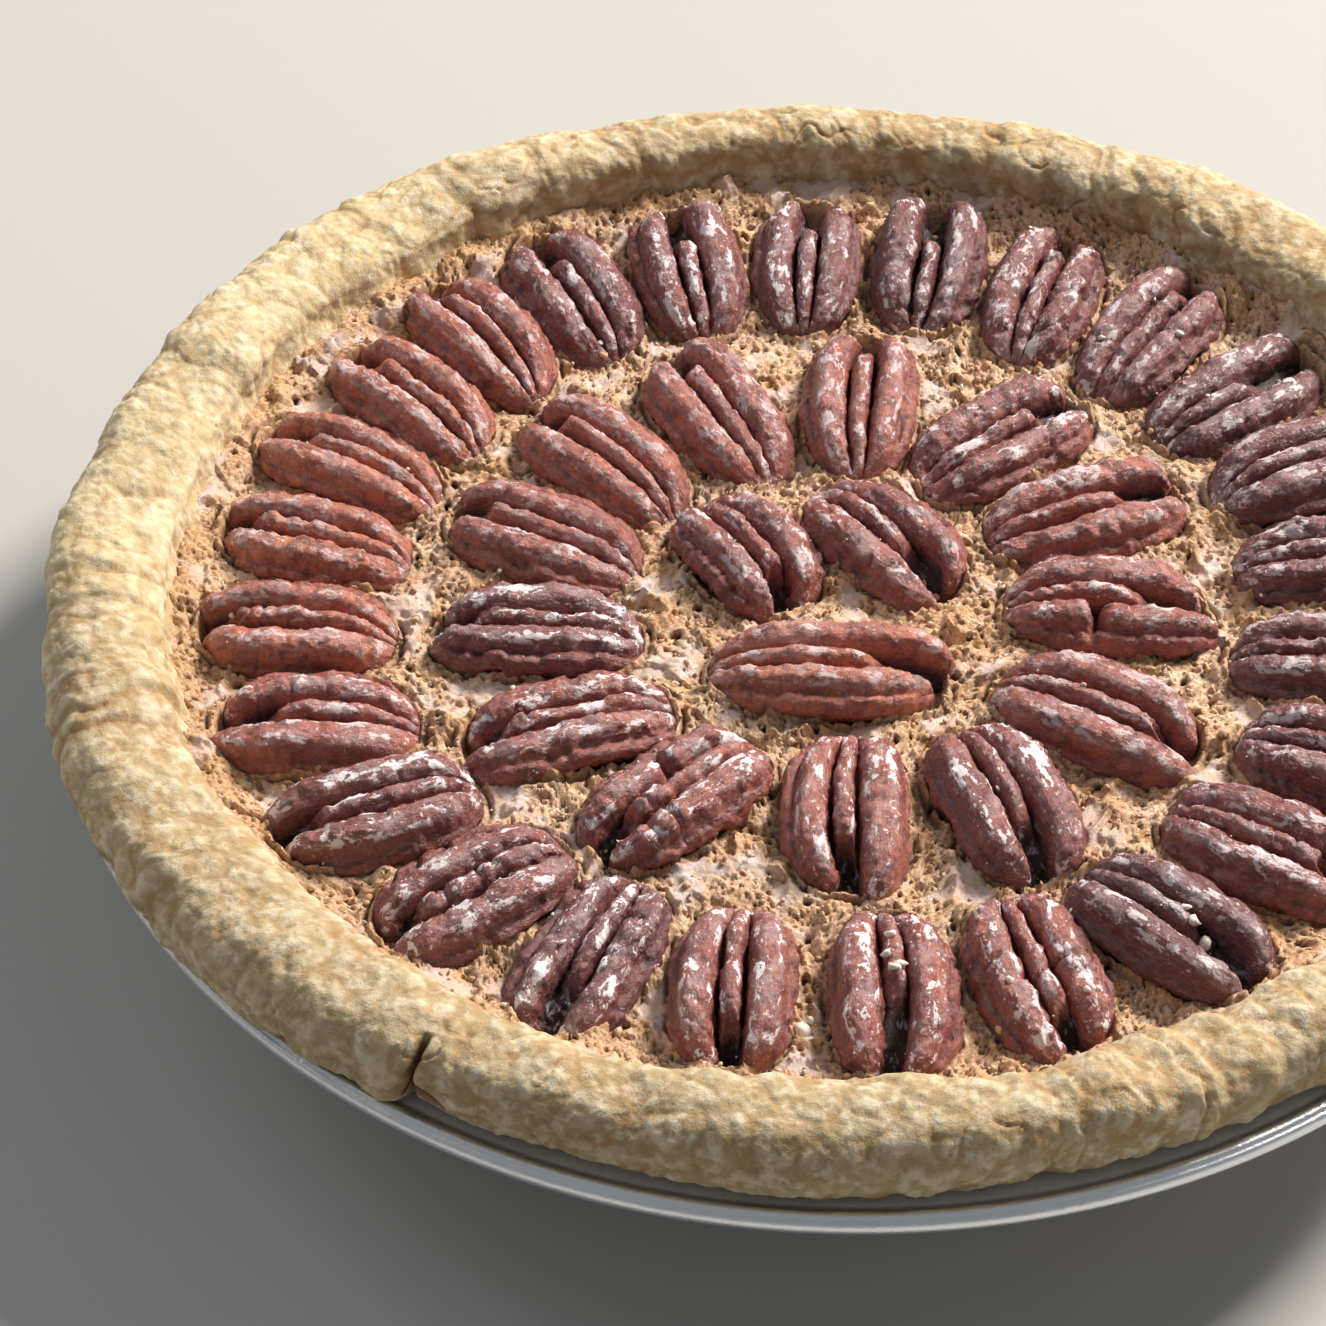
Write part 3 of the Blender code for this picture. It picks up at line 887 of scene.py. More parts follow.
@dataclass
class PecanHalf:
    """One pecan half, in the place and size of its CAD node.

    The half's own axes are along its length, away from the pie's middle, across it, and up.
    """

    node: str
    seed: int
    special: dict[str, object] = field(default_factory=dict)
    heading: tuple[float, float] | None = None
    rows: int = 84
    top_columns: int = 94
    low_columns: int = 8
    waist: float = 0.27
    plan_powers: Spot = (2.7, 3.6)
    height_powers: Spot = (3.4, 5.0)
    join_power: int = 6
    least_rise: float = 0.16

    def __post_init__(self) -> None:
        """Read the half's place, axes and size from its CAD node, and settle its character."""
        points = node_points(self.node)
        middle = 0.5 * (points.min(axis=0) + points.max(axis=0))
        _, axes = np.linalg.eigh(np.cov((points - middle).T))
        reach = (points - middle) @ axes[:, 2]
        along = points[reach.argmax()] - points[reach.argmin()]
        heading = self.heading or (middle[0], middle[1])
        if along[:2] @ np.array(heading) < 0.0:
            along = -along
        self.length = float(np.linalg.norm(along))
        self.along = along / self.length
        across = axes[:, 1] - (axes[:, 1] @ self.along) * self.along
        across /= np.linalg.norm(across)
        self.across = across if np.cross(self.along, across)[2] > 0.0 else -across
        self.up = np.cross(self.along, self.across)
        local = points - middle
        self.width = float(np.ptp(local @ self.across))
        self.height = float(np.ptp(local @ self.up))
        low = (local @ self.up).min()
        centre = 0.5 * ((local @ self.along).min() + (local @ self.along).max())
        self.spot = middle + low * self.up + centre * self.along
        self.dice = np.random.default_rng(self.seed)
        self.character = self.settled()

    def settled(self) -> Character:
        """The half's character: drawn from its own dice, then set one by one where it is special."""
        draw = self.dice.uniform
        made = Character(left_side=float(draw(0.2, 1.0)), right_side=float(draw(0.2, 1.0)),
                         ridge_sinks=float(draw(0.0, 0.7)), spread=float(draw(0.0, 0.06)),
                         knobs=float(draw(0.2, 0.75)), wrinkles=float(draw(0.4, 1.0)),
                         bend=float(draw(-1.2, 1.2)), notch=float(draw(0.07, 0.15)),
                         uneven=float(draw(-0.045, 0.045)),
                         tone=float(draw(0.25, 0.75)), bloom_and_highlight=float(draw(0.5, 0.95)))
        for key, value in self.special.items():
            setattr(made, key, value)
        return made

    def lobes(self) -> list[Lobe]:
        """The half's five lobes: two main ones, the middle ridge, and a low one down each side."""
        own = self.character
        beats = self.dice.uniform(3.2, 5.6, 5)
        slants = self.dice.uniform(-0.5, 0.5, 5)
        found = [Lobe(0.0, 0.195, 0.97, self.seed + 1, knobs=0.6 * own.knobs, sinks_at=own.ridge_sinks,
                      beat=beats[0], slant=slants[0])]
        for number, (side, low) in enumerate(((1.0, own.left_side), (-1.0, own.right_side))):
            found.append(Lobe(side * (0.565 - 0.085 * low), 0.395 - 0.105 * low, 1.0, self.seed + 3 + number,
                              spread=own.spread, knobs=0.55 * own.knobs, break_at=own.breaks[number],
                              beat=beats[1 + number], slant=slants[1 + number]))
            found.append(Lobe(side * 0.85, 0.17, 0.34 + 0.34 * low, self.seed + 5 + number,
                              knobs=min(1.0, 1.3 * own.knobs), beat=beats[3 + number],
                              slant=slants[3 + number]))
        return found

    def stations_across(self) -> Array:
        """Places across the top from 1 to -1, closer together in the creases and near the sides."""
        fine = np.linspace(-1.0, 1.0, 2001)
        wanted = (1.0 + 1.8 * bell(np.abs(fine) - 0.19, 0.07) + 0.8 * bell(np.abs(fine) - 0.72, 0.08)
                  + 2.0 * ease(0.88, 1.0, np.abs(fine)))
        run = np.concatenate([[0.0], np.cumsum(0.5 * (wanted[1:] + wanted[:-1]))])
        return np.interp(np.linspace(0.0, 1.0, self.top_columns) * run[-1], run, fine)[::-1]

    def shape(self) -> Piece:
        """The half's surface.

        At each station t from -1 at the inner tip to 1 at the outer, the plan's half width is
        (1 - |t|^n)^0.5 of the half's, with n 2.7 on the inner side and 3.6 on the outer, and the height is
        (1 - |t|^n)^0.5 of the half's with n 3.4 and 5.  Across it, the lobes' heights are joined as the
        sixth root of the sum of their sixth powers.  At the inner tip they melt into one dome, and at the
        outer one a notch cuts back between the two main lobes.
        """
        own = self.character
        t = -np.cos(np.linspace(0.0, math.pi, self.rows + 2))[1:-1, None]
        t = 0.72 * t + 0.28 * np.linspace(-1.0, 1.0, self.rows + 2)[1:-1, None]
        top_s = self.stations_across()[None, :]
        low_s = np.linspace(-1.0, 1.0, self.low_columns + 2)[None, 1:-1]
        s = np.concatenate([top_s, low_s], axis=1) + 0.0 * t
        top = np.concatenate([np.ones_like(top_s), np.zeros_like(low_s)], axis=1) + 0.0 * t > 0.5
        whole = t + 0.0 * s
        wide = np.sqrt(1.0 - np.abs(t) ** np.where(t < 0.0, *self.plan_powers))
        high = np.sqrt(1.0 - np.abs(t) ** np.where(t < 0.0, *self.height_powers))
        high = high * (1.0 - 0.12 * np.square(t))
        lobed = sum(lobe.rise(s, whole) ** self.join_power for lobe in self.lobes())
        floor = self.least_rise * np.sqrt(np.clip(1.0 - np.square(s), 0.0, 1.0))
        lobed = np.power(lobed + floor ** self.join_power, 1.0 / self.join_power)
        dome = np.power(np.clip(1.0 - np.abs(s) ** 2.6, 0.0, 1.0), 0.5)
        melt = 0.60 * ease(-0.84, -0.98, t)
        level = np.minimum(lobed, 1.06) * (1.0 - melt) + dome * melt
        reach = s * wide
        gap = bell(reach, 0.16) * ease(0.50, 0.95, t)
        level = level * (1.0 - 0.8 * gap)
        waist = self.waist * self.height * high
        raised = waist + (self.height * high - waist) * level
        lowered = waist * (1.0 - np.sqrt(np.clip(1.0 - np.square(s), 0.0, 1.0)))
        z = np.where(top, raised, lowered)
        bend = own.bend * MM
        swing = 0.035 * Grain(self.seed + 9).at(np.stack([2.7 * whole, np.sign(s), 0.0 * s], axis=-1))
        y = 0.5 * self.width * wide * s * (1.0 + swing) + bend * (np.square(t) - 0.33)
        shorter = own.notch * bell(reach, 0.19) + own.uneven * np.tanh(6.0 * s)
        x = 0.5 * self.length * t - self.length * shorter * ease(0.25, 1.0, t)
        local, wrinkles = self.roughened(np.stack([x + 0.0 * s, y, z], axis=-1), s, whole)
        last = 0.5 * self.length * (1.0 - 2.0 * own.notch)
        tips = np.array([[-0.5 * self.length, bend * 0.67, 0.12 * self.height],
                         [last, bend * 0.67, 0.08 * self.height]])
        return self.piece(local, tips, s, level, wrinkles, whole)

    def roughened(self, local: Array, s: Array, t: Array) -> tuple[Array, Array]:
        """Push the surface along its normals by lumps, knobs, pebbles, cross wrinkles and fibres.

        Returns:
            The new places, and how deep the wrinkles are from 0 to 1.
        """
        own = self.character
        grain = [Grain(self.seed + number) for number in range(6)]
        places = local / MM + self.dice.uniform(-50.0, 50.0, 3)
        normal = surface_normals(local, False, True)
        lumps = 0.34 * grain[0].layers(places / 4.6, 2)
        knobs = own.knobs * (0.14 + 0.36 * ease(0.5, 0.85, np.abs(s))) * grain[1].at(places / 2.6)
        pebbles = 0.20 * grain[2].layers(places / 1.7, 2, 0.6)
        across = grain[3].layers(places * np.array([1.0 / 1.5, 1.0 / 4.2, 1.0 / 4.2]), 2)
        wrinkles = bell(across, 0.13) * ease(-0.35, 0.35, grain[4].at(places / 6.0)) * own.wrinkles
        rills = (bell(grain[0].layers(places / 3.3 + 17.0, 2, 0.55), 0.07)
                 * ease(-0.30, 0.25, grain[4].at(places / 4.8 + 9.0)))
        wrinkles = np.maximum(wrinkles, rills * (0.45 + 0.55 * own.knobs))
        fibres = 0.04 * grain[5].at(places * np.array([1.0 / 5.0, 1.0 / 0.8, 1.0 / 0.8]))
        fade = ease(1.0, 0.92, np.abs(t))
        push = (lumps + knobs + pebbles - 0.42 * wrinkles + fibres) * fade * MM
        return local + normal * push[..., None], wrinkles

    def piece(self, local: Array, tips: Array, s: Array, level: Array, wrinkles: Array, t: Array) -> Piece:
        """Close the tips, carry the marks, and set the half in its place on the pie."""
        rows, columns = local.shape[:2]
        points = np.concatenate([local.reshape(-1, 3), tips])
        placed = (self.spot + points[:, :1] * self.along + points[:, 1:2] * self.across
                  + points[:, 2:] * self.up)
        first, last = rows * columns, rows * columns + 1
        faces = [grid_faces(rows, columns, True), fan_faces(np.arange(columns)[::-1], first),
                 fan_faces(np.arange((rows - 1) * columns, rows * columns), last)]
        inside = ease(0.97, 0.88, np.abs(s))
        # Low places between the lobes, for painted shade.
        groove = ease(0.66, 0.16, level) * inside * ease(-0.99, -0.85, t)
        crest = ease(0.62, 0.97, level) * inside
        marks = {"groove": np.append(groove.ravel(), [0.0, 0.6]),
                 "ridge": np.append(crest.ravel(), [0.3, 0.0]),
                 # Wrinkle depth, for painted shade.
                 "fold": np.append(wrinkles.ravel(), [0.0, 0.0]),
                 # 1 low on the half and 0 from half its height up, for painted shade.
                 "flank": ease(0.50, 0.12, points[:, 2] / self.height),
                 # Darkness share, partly painted light.
                 "tone": np.full(len(points), self.character.tone),
                 "bloom_and_highlight": np.full(len(points), self.character.bloom_and_highlight),
                 "lie": points + self.dice.uniform(-0.4, 0.4, 3)}
        return Piece(self.node + "_nut", placed, faces, marks)

    def plan_distance(self, plane: Array) -> Array:
        """Roughly how far places on the pie's top lie outside the half's outline, in metres."""
        away = plane - self.spot[:2]
        along = self.along[:2] / np.linalg.norm(self.along[:2])
        across = np.array([-along[1], along[0]])
        t = (away @ along) / (0.5 * self.length)
        s = (away @ across) / (0.5 * self.width)
        level = np.power(np.abs(t) ** 2.6 + np.abs(s) ** 2.3, 1.0 / 2.45)
        reach = np.hypot(away[..., 0], away[..., 1])
        return reach * (1.0 - 1.0 / np.maximum(level, 1e-6))


@dataclass
class PecanRings:
    """All the pecan halves on the pie."""

    first_seed: int = 500
    seed_step: int = 17
    finish: PecanFinish = field(default_factory=PecanFinish)
    special: dict[str, dict[str, object]] = field(default_factory=lambda: SPECIAL_HALVES)
    headings: dict[str, tuple[float, float]] = field(default_factory=lambda: {
        "pecan_centre_01": (0.60, -0.80), "pecan_centre_02": (0.68, -0.73), "pecan_centre_03": (1.0, -0.02)})

    def __post_init__(self) -> None:
        """Find the halves among the CAD nodes."""
        names = sorted(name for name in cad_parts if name.startswith("pecan_"))
        self.halves = [PecanHalf(name, self.first_seed + self.seed_step * index, self.special.get(name, {}),
                                 self.headings.get(name))
                       for index, name in enumerate(names)]

    def build(self, ground: Ground) -> None:
        """Build every half."""
        for half in self.halves:
            piece = half.shape()
            piece.build(self.finish, Slot.PECAN, (half.node,))
            ground.add(piece.points)


# ---------------------------------------------------------------------------------------------
# Filling
# ---------------------------------------------------------------------------------------------


@dataclass
class Filling:
    """The caramel crumb: four matching quarters whose tops are one porous, lumpy surface."""

    halves: list[PecanHalf]
    steps: int = 290
    seed: int = 61
    wall_overlap: float = 3.2 * MM
    climb: float = 2.6
    pores: tuple[tuple[float, float, float, float], ...] = (
        (1.25, 0.80, 0.38, 0.90), (0.85, 0.70, 0.44, 0.55), (4.0, 0.40, 0.22, 1.8))
    finish: FillingFinish = field(default_factory=FillingFinish)

    def __post_init__(self) -> None:
        """Read the level, floor and radius from the CAD filling."""
        low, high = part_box("filling")
        self.level, self.floor = high.z, low.z
        self.radius = 0.5 * (high.x - low.x) + self.wall_overlap
        points = node_points("filling")
        base = points[points[:, 2] < self.floor + MM]
        self.floor_share = float(np.hypot(base[:, 0], base[:, 1]).max()) / self.radius

    def plan(self, turn: int) -> Array:
        """A quarter disc as a square grid: squares about the corner become rings of even spacing.

        For a square's corner coordinates a and b, the radius is the larger one and the angle an eighth
        turn times the smaller over the larger, measured from the larger one's axis.
        """
        side = np.linspace(0.0, 1.0, self.steps)
        a, b = np.meshgrid(side, side, indexing="ij")
        larger, smaller = np.maximum(a, b), np.minimum(a, b)
        eighth = math.pi / 4 * smaller / np.maximum(larger, 1e-9)
        angle = np.where(a >= b, eighth, math.pi / 2 - eighth) + turn * math.pi / 2
        return np.stack([self.radius * larger * np.cos(angle), self.radius * larger * np.sin(angle)], axis=-1)

    def top(self, plane: Array) -> tuple[Array, dict[str, Array]]:
        """Height of the crumb's top and the marks that colour it.

        The top is the filling's level, plus lumps of three sizes, raised skins with torn edges, a collar
        that climbs or shrinks from the nuts, and pits of three sizes; under a nut it drops out of sight.
        """
        places = np.concatenate([plane / MM, np.zeros(plane.shape[:-1] + (1,))], axis=-1)
        away = np.full(plane.shape[:-1], 1.0)
        for half in self.halves:
            away = np.minimum(away, half.plan_distance(plane))
        away = away / MM
        grain = [Grain(self.seed + number) for number in range(14)]
        warp = np.stack([grain[7].at(places / 1.3), grain[8].at(places / 1.3)], axis=-1)
        warped = plane / MM + 0.45 * warp
        torn = 0.16 * grain[9].layers(places / 1.9, 2)
        gloss = ease(0.06, 0.34, grain[0].layers(places / 8.5, 2) + torn) * ease(0.1, 1.2, away)
        crumbly = 1.0 - gloss
        lumps = 1.25 * grain[1].layers(places / 13.0, 2) + 0.80 * grain[2].layers(places / 5.0, 2)
        fine = (0.26 * crumbly + 0.12) * grain[3].layers(places / 1.15, 2, 0.6)
        near, own = Pits(self.seed + 30).nearest(warped / 1.3)
        knobs = 0.22 * ease(0.50, 0.10, near) * (own < 0.5) * crumbly
        fold = (grain[4].ridges(places / 9.0 + 0.5 * torn[..., None], 6.0)
                * ease(-0.05, 0.25, grain[5].at(places / 11.0)))
        shelf = ease(0.02, 0.10, grain[10].layers(places / 7.0, 2) + torn)
        climb = 0.60 + 1.2 * grain[6].at(places / 6.0)
        collar = climb * np.exp(-np.maximum(away, 0.0) / 1.3)
        # A dip round the nuts, darkened through the pore mark as painted shade.
        crack = bell(away - 0.4, 0.38) * ease(-0.30, 0.30, grain[11].at(places / 4.5))
        pits = self.pits(warped, crumbly)
        radius = np.hypot(plane[..., 0], plane[..., 1])
        bank = ease(10.5, 1.8, (self.radius - radius) / MM) * (1.0 + 0.5 * grain[12].at(places / 9.0))
        under = ease(-0.5, -1.9, away)
        rise = (lumps + fine + knobs + 1.5 * fold + 0.65 * shelf + collar - pits - 1.3 * crack
                + self.climb * bank)
        height = self.level + (rise * (1.0 - under) - 2.4 * under) * MM
        # Raised crumbs get painted highlight through the crumb mark; low crumb and the nuts' edges get
        # painted shade through the deep mark.
        raised = fine + knobs - 0.6 * pits
        # The pore mark darkens pits and the dip round the nuts as painted shade.
        marks = {"gloss": gloss * (1.0 - ease(0.15, 0.45, pits)),
                 "pore": np.maximum(ease(0.30, 0.95, pits), 0.6 * crack),
                 "crumb": ease(0.12, 0.55, raised) * crumbly, "skin": np.maximum(fold, 0.9 * bank),
                 "deep": np.maximum(ease(-0.02, -0.42, raised) * crumbly, bell(away - 0.2, 0.9) * 0.8)}
        return height, marks

    def pits(self, plane: Array, crumbly: Array) -> Array:
        """Depth in millimetres of the crumb's open pores.

        Each size of pore has the width of its cells, the share of cells with a pore, its reach in cells,
        and its depth.
        """
        depth = np.zeros(plane.shape[:-1])
        for number, (cell, share, reach, deep) in enumerate(self.pores):
            away, own = Pits(self.seed + 40 + number).nearest(plane / cell)
            size = reach * (0.35 + 0.65 * own / share)
            pit = deep * ease(1.0, 0.40, away / size) * (own < share)
            depth = np.maximum(depth, pit * (0.35 + 0.65 * own / share))
        return depth * (0.16 + 0.84 * crumbly)

    def quarter(self, turn: int) -> Piece:
        """One closed quarter: its top, a skirt down to the floor, and a flat floor."""
        plane = self.plan(turn)
        height, marks = self.top(plane)
        grid = np.concatenate([plane, height[..., None]], axis=-1)
        count = self.steps
        index = np.arange(count * count).reshape(count, count)
        loop = np.concatenate([index[:, 0], index[-1, 1:], index[-2::-1, -1], index[0, -2:0:-1]])
        share = np.where(np.hypot(*plane.reshape(-1, 2)[loop].T) > self.radius * 0.999, self.floor_share, 1.0)
        inner = np.minimum(share, self.floor_share)
        low = np.column_stack([plane.reshape(-1, 2)[loop] * inner[:, None], np.full(len(loop), self.floor)])
        first = count * count
        skirt_low = first + np.arange(len(loop))
        skirt = np.stack([loop, skirt_low, np.roll(skirt_low, -1), np.roll(loop, -1)], axis=-1)
        faces = [grid_faces(count, count, False)[:, ::-1], skirt, skirt_low[None, ::-1]]
        points = np.concatenate([grid.reshape(-1, 3), low])
        padded = {mark: np.append(values.ravel(), np.zeros(len(loop))) for mark, values in marks.items()}
        return Piece(f"filling_quarter_{turn + 1}", points, faces, padded, self.top_normals(points))

    def top_normals(self, points: Array) -> Array:
        """Normals from the heights a small step away, so that the quarters meet without a seam."""
        step = 0.35 * MM
        plane = points[: self.steps * self.steps, :2]
        run = [self.top(plane + shift)[0] - self.top(plane - shift)[0]
               for shift in (np.array([step, 0.0]), np.array([0.0, step]))]
        normal = np.stack([-run[0], -run[1], np.full(len(plane), 2.0 * step)], axis=-1)
        normal /= np.linalg.norm(normal, axis=-1, keepdims=True)
        outward = points[self.steps * self.steps:] * np.array([1.0, 1.0, 0.0])
        outward /= np.maximum(np.linalg.norm(outward, axis=-1, keepdims=True), 1e-9)
        return np.concatenate([normal, outward])

    def build(self, ground: Ground) -> None:
        """Build the four quarters."""
        for turn in range(4):
            piece = self.quarter(turn)
            piece.build(self.finish, Slot.FILLING, ("filling",))
            ground.add(piece.points)


# ---------------------------------------------------------------------------------------------
# Pastry case
# ---------------------------------------------------------------------------------------------


@dataclass
class PastryCase:
    """The pastry case with its rolled rim, in two halves that meet at the dough's open seam."""

    seed: int = 23
    columns: int = 900
    rim_rows: int = 98
    bins: int = 104
    seam_turn: float = 241.0
    left_turn: float = 192.0
    middle_radius: float = 107.0
    widest_share: float = 0.42
    fold_length: float = 13.0
    scale_length: float = 5.6
    wrinkle_length: float = 2.1
    large_flakes: int = 190
    small_flakes: int = 400
    under_rows: int = 4
    inside_rows: int = 2
    fade_in: tuple[float, ...] = (0.5, 0.7, 0.9)
    fade_out: tuple[float, ...] = (0.8, 0.5, 0.2)
    folding: tuple[Spot, ...] = (
        (0, 0.55), (60, 0.5), (120, 0.6), (160, 0.7), (190, 0.9), (232, 0.8), (246, 0.12), (272, 0.15),
        (284, 0.5), (292, 1.2), (325, 1.2), (345, 0.7))
    wrinkling: tuple[Spot, ...] = (
        (0, 0.8), (60, 0.8), (120, 0.6), (160, 0.5), (190, 0.5), (246, 0.4), (272, 0.6), (292, 1.0),
        (325, 1.1), (345, 0.9))
    # Browner towards the front and front left, by turn in degrees: partly a real uneven bake, partly painted
    # shade.
    browning_and_shade: tuple[Spot, ...] = (
        (0, 0.4), (60, 0.5), (110, 0.35), (140, 0.0), (180, 0.05), (205, 0.55), (235, 0.95), (275, 1.0),
        (300, 0.55), (330, 0.4))
    finish: PastryFinish = field(default_factory=PastryFinish)

    def __post_init__(self) -> None:
        """Read the rim's outer, lower, inner and top lines all round from the CAD crust."""
        points = node_points("crust")
        self.floor = float(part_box("filling")[0].z) - 0.3 * MM
        self.base = float(points[:, 2].min())
        self.flange = float(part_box("tin")[1].z) - 0.7 * MM
        self.level = float(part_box("filling")[1].z)
        radius = np.hypot(points[:, 0], points[:, 1])
        turn = np.arctan2(points[:, 1], points[:, 0]) % math.tau
        slot = np.round(turn / math.tau * self.bins).astype(int) % self.bins
        rim = points[:, 2] > self.flange + 3 * MM
        edge = (points[:, 2] > self.flange + 1.0 * MM) & (points[:, 2] < self.flange + 2.0 * MM)
        self.outer_line = self.line(slot[rim], radius[rim], np.maximum, 0.0)
        self.edge_line = self.line(slot[edge], radius[edge], np.maximum, 0.0)
        self.inner_line = self.line(slot[rim], radius[rim], np.minimum, 1.0)
        self.top_line = self.line(slot[rim], points[rim, 2], np.maximum, 0.0)
        left = np.arange(self.bins) * 360.0 / self.bins - self.left_turn
        self.outer_line += 0.9 * MM * bell(left, 24.0)
        self.wall_low = float(radius[points[:, 2] < self.base + 0.1 * MM].max())
        flange_ring = np.abs(points[:, 2] - self.flange) < 0.5 * MM
        self.wall_high = float(radius[flange_ring].min())
        self.seat = float(np.median(radius[flange_ring & (radius > self.wall_high + 2 * MM)]))
        self.fill_radius = 0.5 * float(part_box("filling")[1].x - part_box("filling")[0].x) + 0.5 * MM
        self.floor_radius = self.wall_low - 2.2 * MM
        self.girth = math.tau * self.middle_radius

    def line(self, slot: Array, values: Array, pick: np.ufunc, start: float) -> Array:
        """The largest or smallest value in each bin round the pie, evened where the CAD seam nicks it."""
        found = np.full(self.bins, start)
        pick.at(found, slot, values)
        for nick in (int(self.seam_turn / 360.0 * self.bins), int(self.seam_turn / 360.0 * self.bins) + 1):
            found[nick] = pick(found[nick], 0.5 * (found[nick - 1] + found[nick + 1]))
        return (np.roll(found, 1) + 4.0 * found + np.roll(found, -1)) / 6.0

    def around(self, line: Array, angle: Array) -> Array:
        """A line round the pie read at angles in radians."""
        return np.interp(angle % math.tau, np.arange(self.bins) * math.tau / self.bins, line, period=math.tau)

    def strength(self, table: tuple[Spot, ...], angle: Array) -> Array:
        """Shares given as turns in degrees and strengths, read at angles in radians."""
        turns, strengths = zip(*table)
        return np.interp(np.degrees(angle) % 360.0, turns, strengths, period=360.0)

    def rim(self, way: Array, edge: Array, outer: Array, inner: Array, top: Array) -> tuple[Array, Array]:
        """The rim's outline at ways from 0 to 4, as radii and heights.

        Each unit of way is one quarter: out from the lower edge and up to the widest place, on to the
        crown, over to the inner edge, and down the inside wall to the filling.  The first three are
        squashed quarter rounds, with sines and cosines to powers of 0.7 to 0.9; the last is straight down
        and smoothly inwards.
        """
        low = self.flange + 1.3 * MM
        wide_at = self.flange + self.widest_share * (top - self.flange)
        inner_at = top - 0.34 * (top - self.flange)
        crown = 0.5 * (outer + inner)
        part = [np.clip(way - number, 0.0, 1.0) for number in range(4)]
        quarter = [np.sin(0.5 * math.pi * share) for share in part]
        fall = [1.0 - np.cos(0.5 * math.pi * share) for share in part]
        last = ease(0.0, 1.0, part[3])
        radii = (edge + (outer - edge) * quarter[0] ** 0.7 - (outer - crown) * (1.0 - (1.0 - fall[1]) ** 0.78)
                 - (crown - inner) * quarter[2] ** 0.85 + (self.fill_radius - inner) * last)
        heights = (low + (wide_at - low) * fall[0] + (top - wide_at) * quarter[1] ** 0.9
                   - (top - inner_at) * fall[2] ** 0.95 - (inner_at - self.level + 1.0 * MM) * part[3])
        return radii, heights

    def rim_stations(self) -> Array:
        """Ways along the rim's mean outline that cut it into equal lengths."""
        dense = np.linspace(0.0, 4.0, 1601)
        lines = (self.edge_line, self.outer_line, self.inner_line, self.top_line)
        radii, heights = self.rim(dense, *(float(np.mean(line)) for line in lines))
        run = np.concatenate([[0.0], np.cumsum(np.hypot(np.diff(radii), np.diff(heights)))])
        return np.interp(np.linspace(0.0, run[-1], self.rim_rows), run, dense)[:, None]

    def section(self, angle: Array) -> tuple[Array, Array]:
        """The case's half section at each angle, from under the base, over the rim, to the inside floor."""
        lines = (self.edge_line, self.outer_line, self.inner_line, self.top_line)
        rim_r, rim_z = self.rim(self.rim_stations(), *(self.around(line, angle) for line in lines))
        flat = np.zeros_like(angle)
        under = [(0.45 * self.wall_low, self.base), (self.wall_low, self.base),
                 (self.wall_high, self.flange), (self.seat, self.flange)]
        inside = [(self.floor_radius, self.floor), (0.45 * self.floor_radius, self.floor)]
        radii = np.concatenate([[flat + r for r, _ in under], rim_r, [flat + r for r, _ in inside]])
        heights = np.concatenate([[flat + z for _, z in under], rim_z, [flat + z for _, z in inside]])
        return radii, heights

    def cuts(self, girth: Array, length: float, salt: int) -> tuple[Array, Array, Array]:
        """Uneven stretches along the girth: cuts lie one to a length, each moved by its own number.

        Args:
            girth: ways round the pie, in millimetres.
            length: mean length of a stretch, in millimetres.
            salt: number that sets these cuts apart from others.

        Returns:
            The way through the stretch from 0 to 1, the distance to the stretch's far cut in millimetres,
            and the stretch's own number from 0 to 1.
        """
        dice = np.random.default_rng(self.seed * 100 + salt)
        count = int(round(self.girth / length))
        spots = (np.arange(count) + dice.uniform(0.1, 0.9, count)) * self.girth / count
        own = np.tile(dice.uniform(0.0, 1.0, count), 3)
        spots = np.concatenate([spots - self.girth, spots, spots + self.girth])
        index = np.clip(np.searchsorted(spots, girth) - 1, 0, 3 * count - 2)
        before, after = spots[index], spots[index + 1]
        way = np.clip((girth - before) / (after - before), 0.0, 1.0)
        return way, after - girth, own[index]

    def folds(self, angle: Array, radii: Array, heights: Array,
              shown: Array) -> tuple[Array, dict[str, Array]]:
        """How far the dough stands out in millimetres, and the marks that colour it.

        Soft lumps carry rounded blisters, whose height is the noise's size without its sign.  Across the
        roll lie broad folds, scales and wrinkles, each some length apart, which rise slowly and drop at
        their far edge; they are strong only where the dough was pinched.  Flakes are plates with their own
        heights.  At the seam a slit opens downwards.
        """
        turn = angle - math.radians(self.seam_turn)
        girth = self.middle_radius * turn + 0.0 * radii
        run = np.cumsum(np.hypot(np.diff(radii, axis=0, prepend=radii[:1]),
                                 np.diff(heights, axis=0, prepend=heights[:1])), axis=0) / MM
        start, end = run[self.under_rows], run[-self.inside_rows - 1]
        run = run - start
        share = run / (end - start)
        places = np.stack([radii * np.cos(angle), radii * np.sin(angle), heights], axis=-1) / MM
        soft = [Grain(self.seed + number) for number in range(20)]
        pinch = np.clip(self.strength(self.folding, angle) + 0.45 * soft[14].at(places / 17.0), 0.0, 1.25)
        finely = self.strength(self.wrinkling, angle)
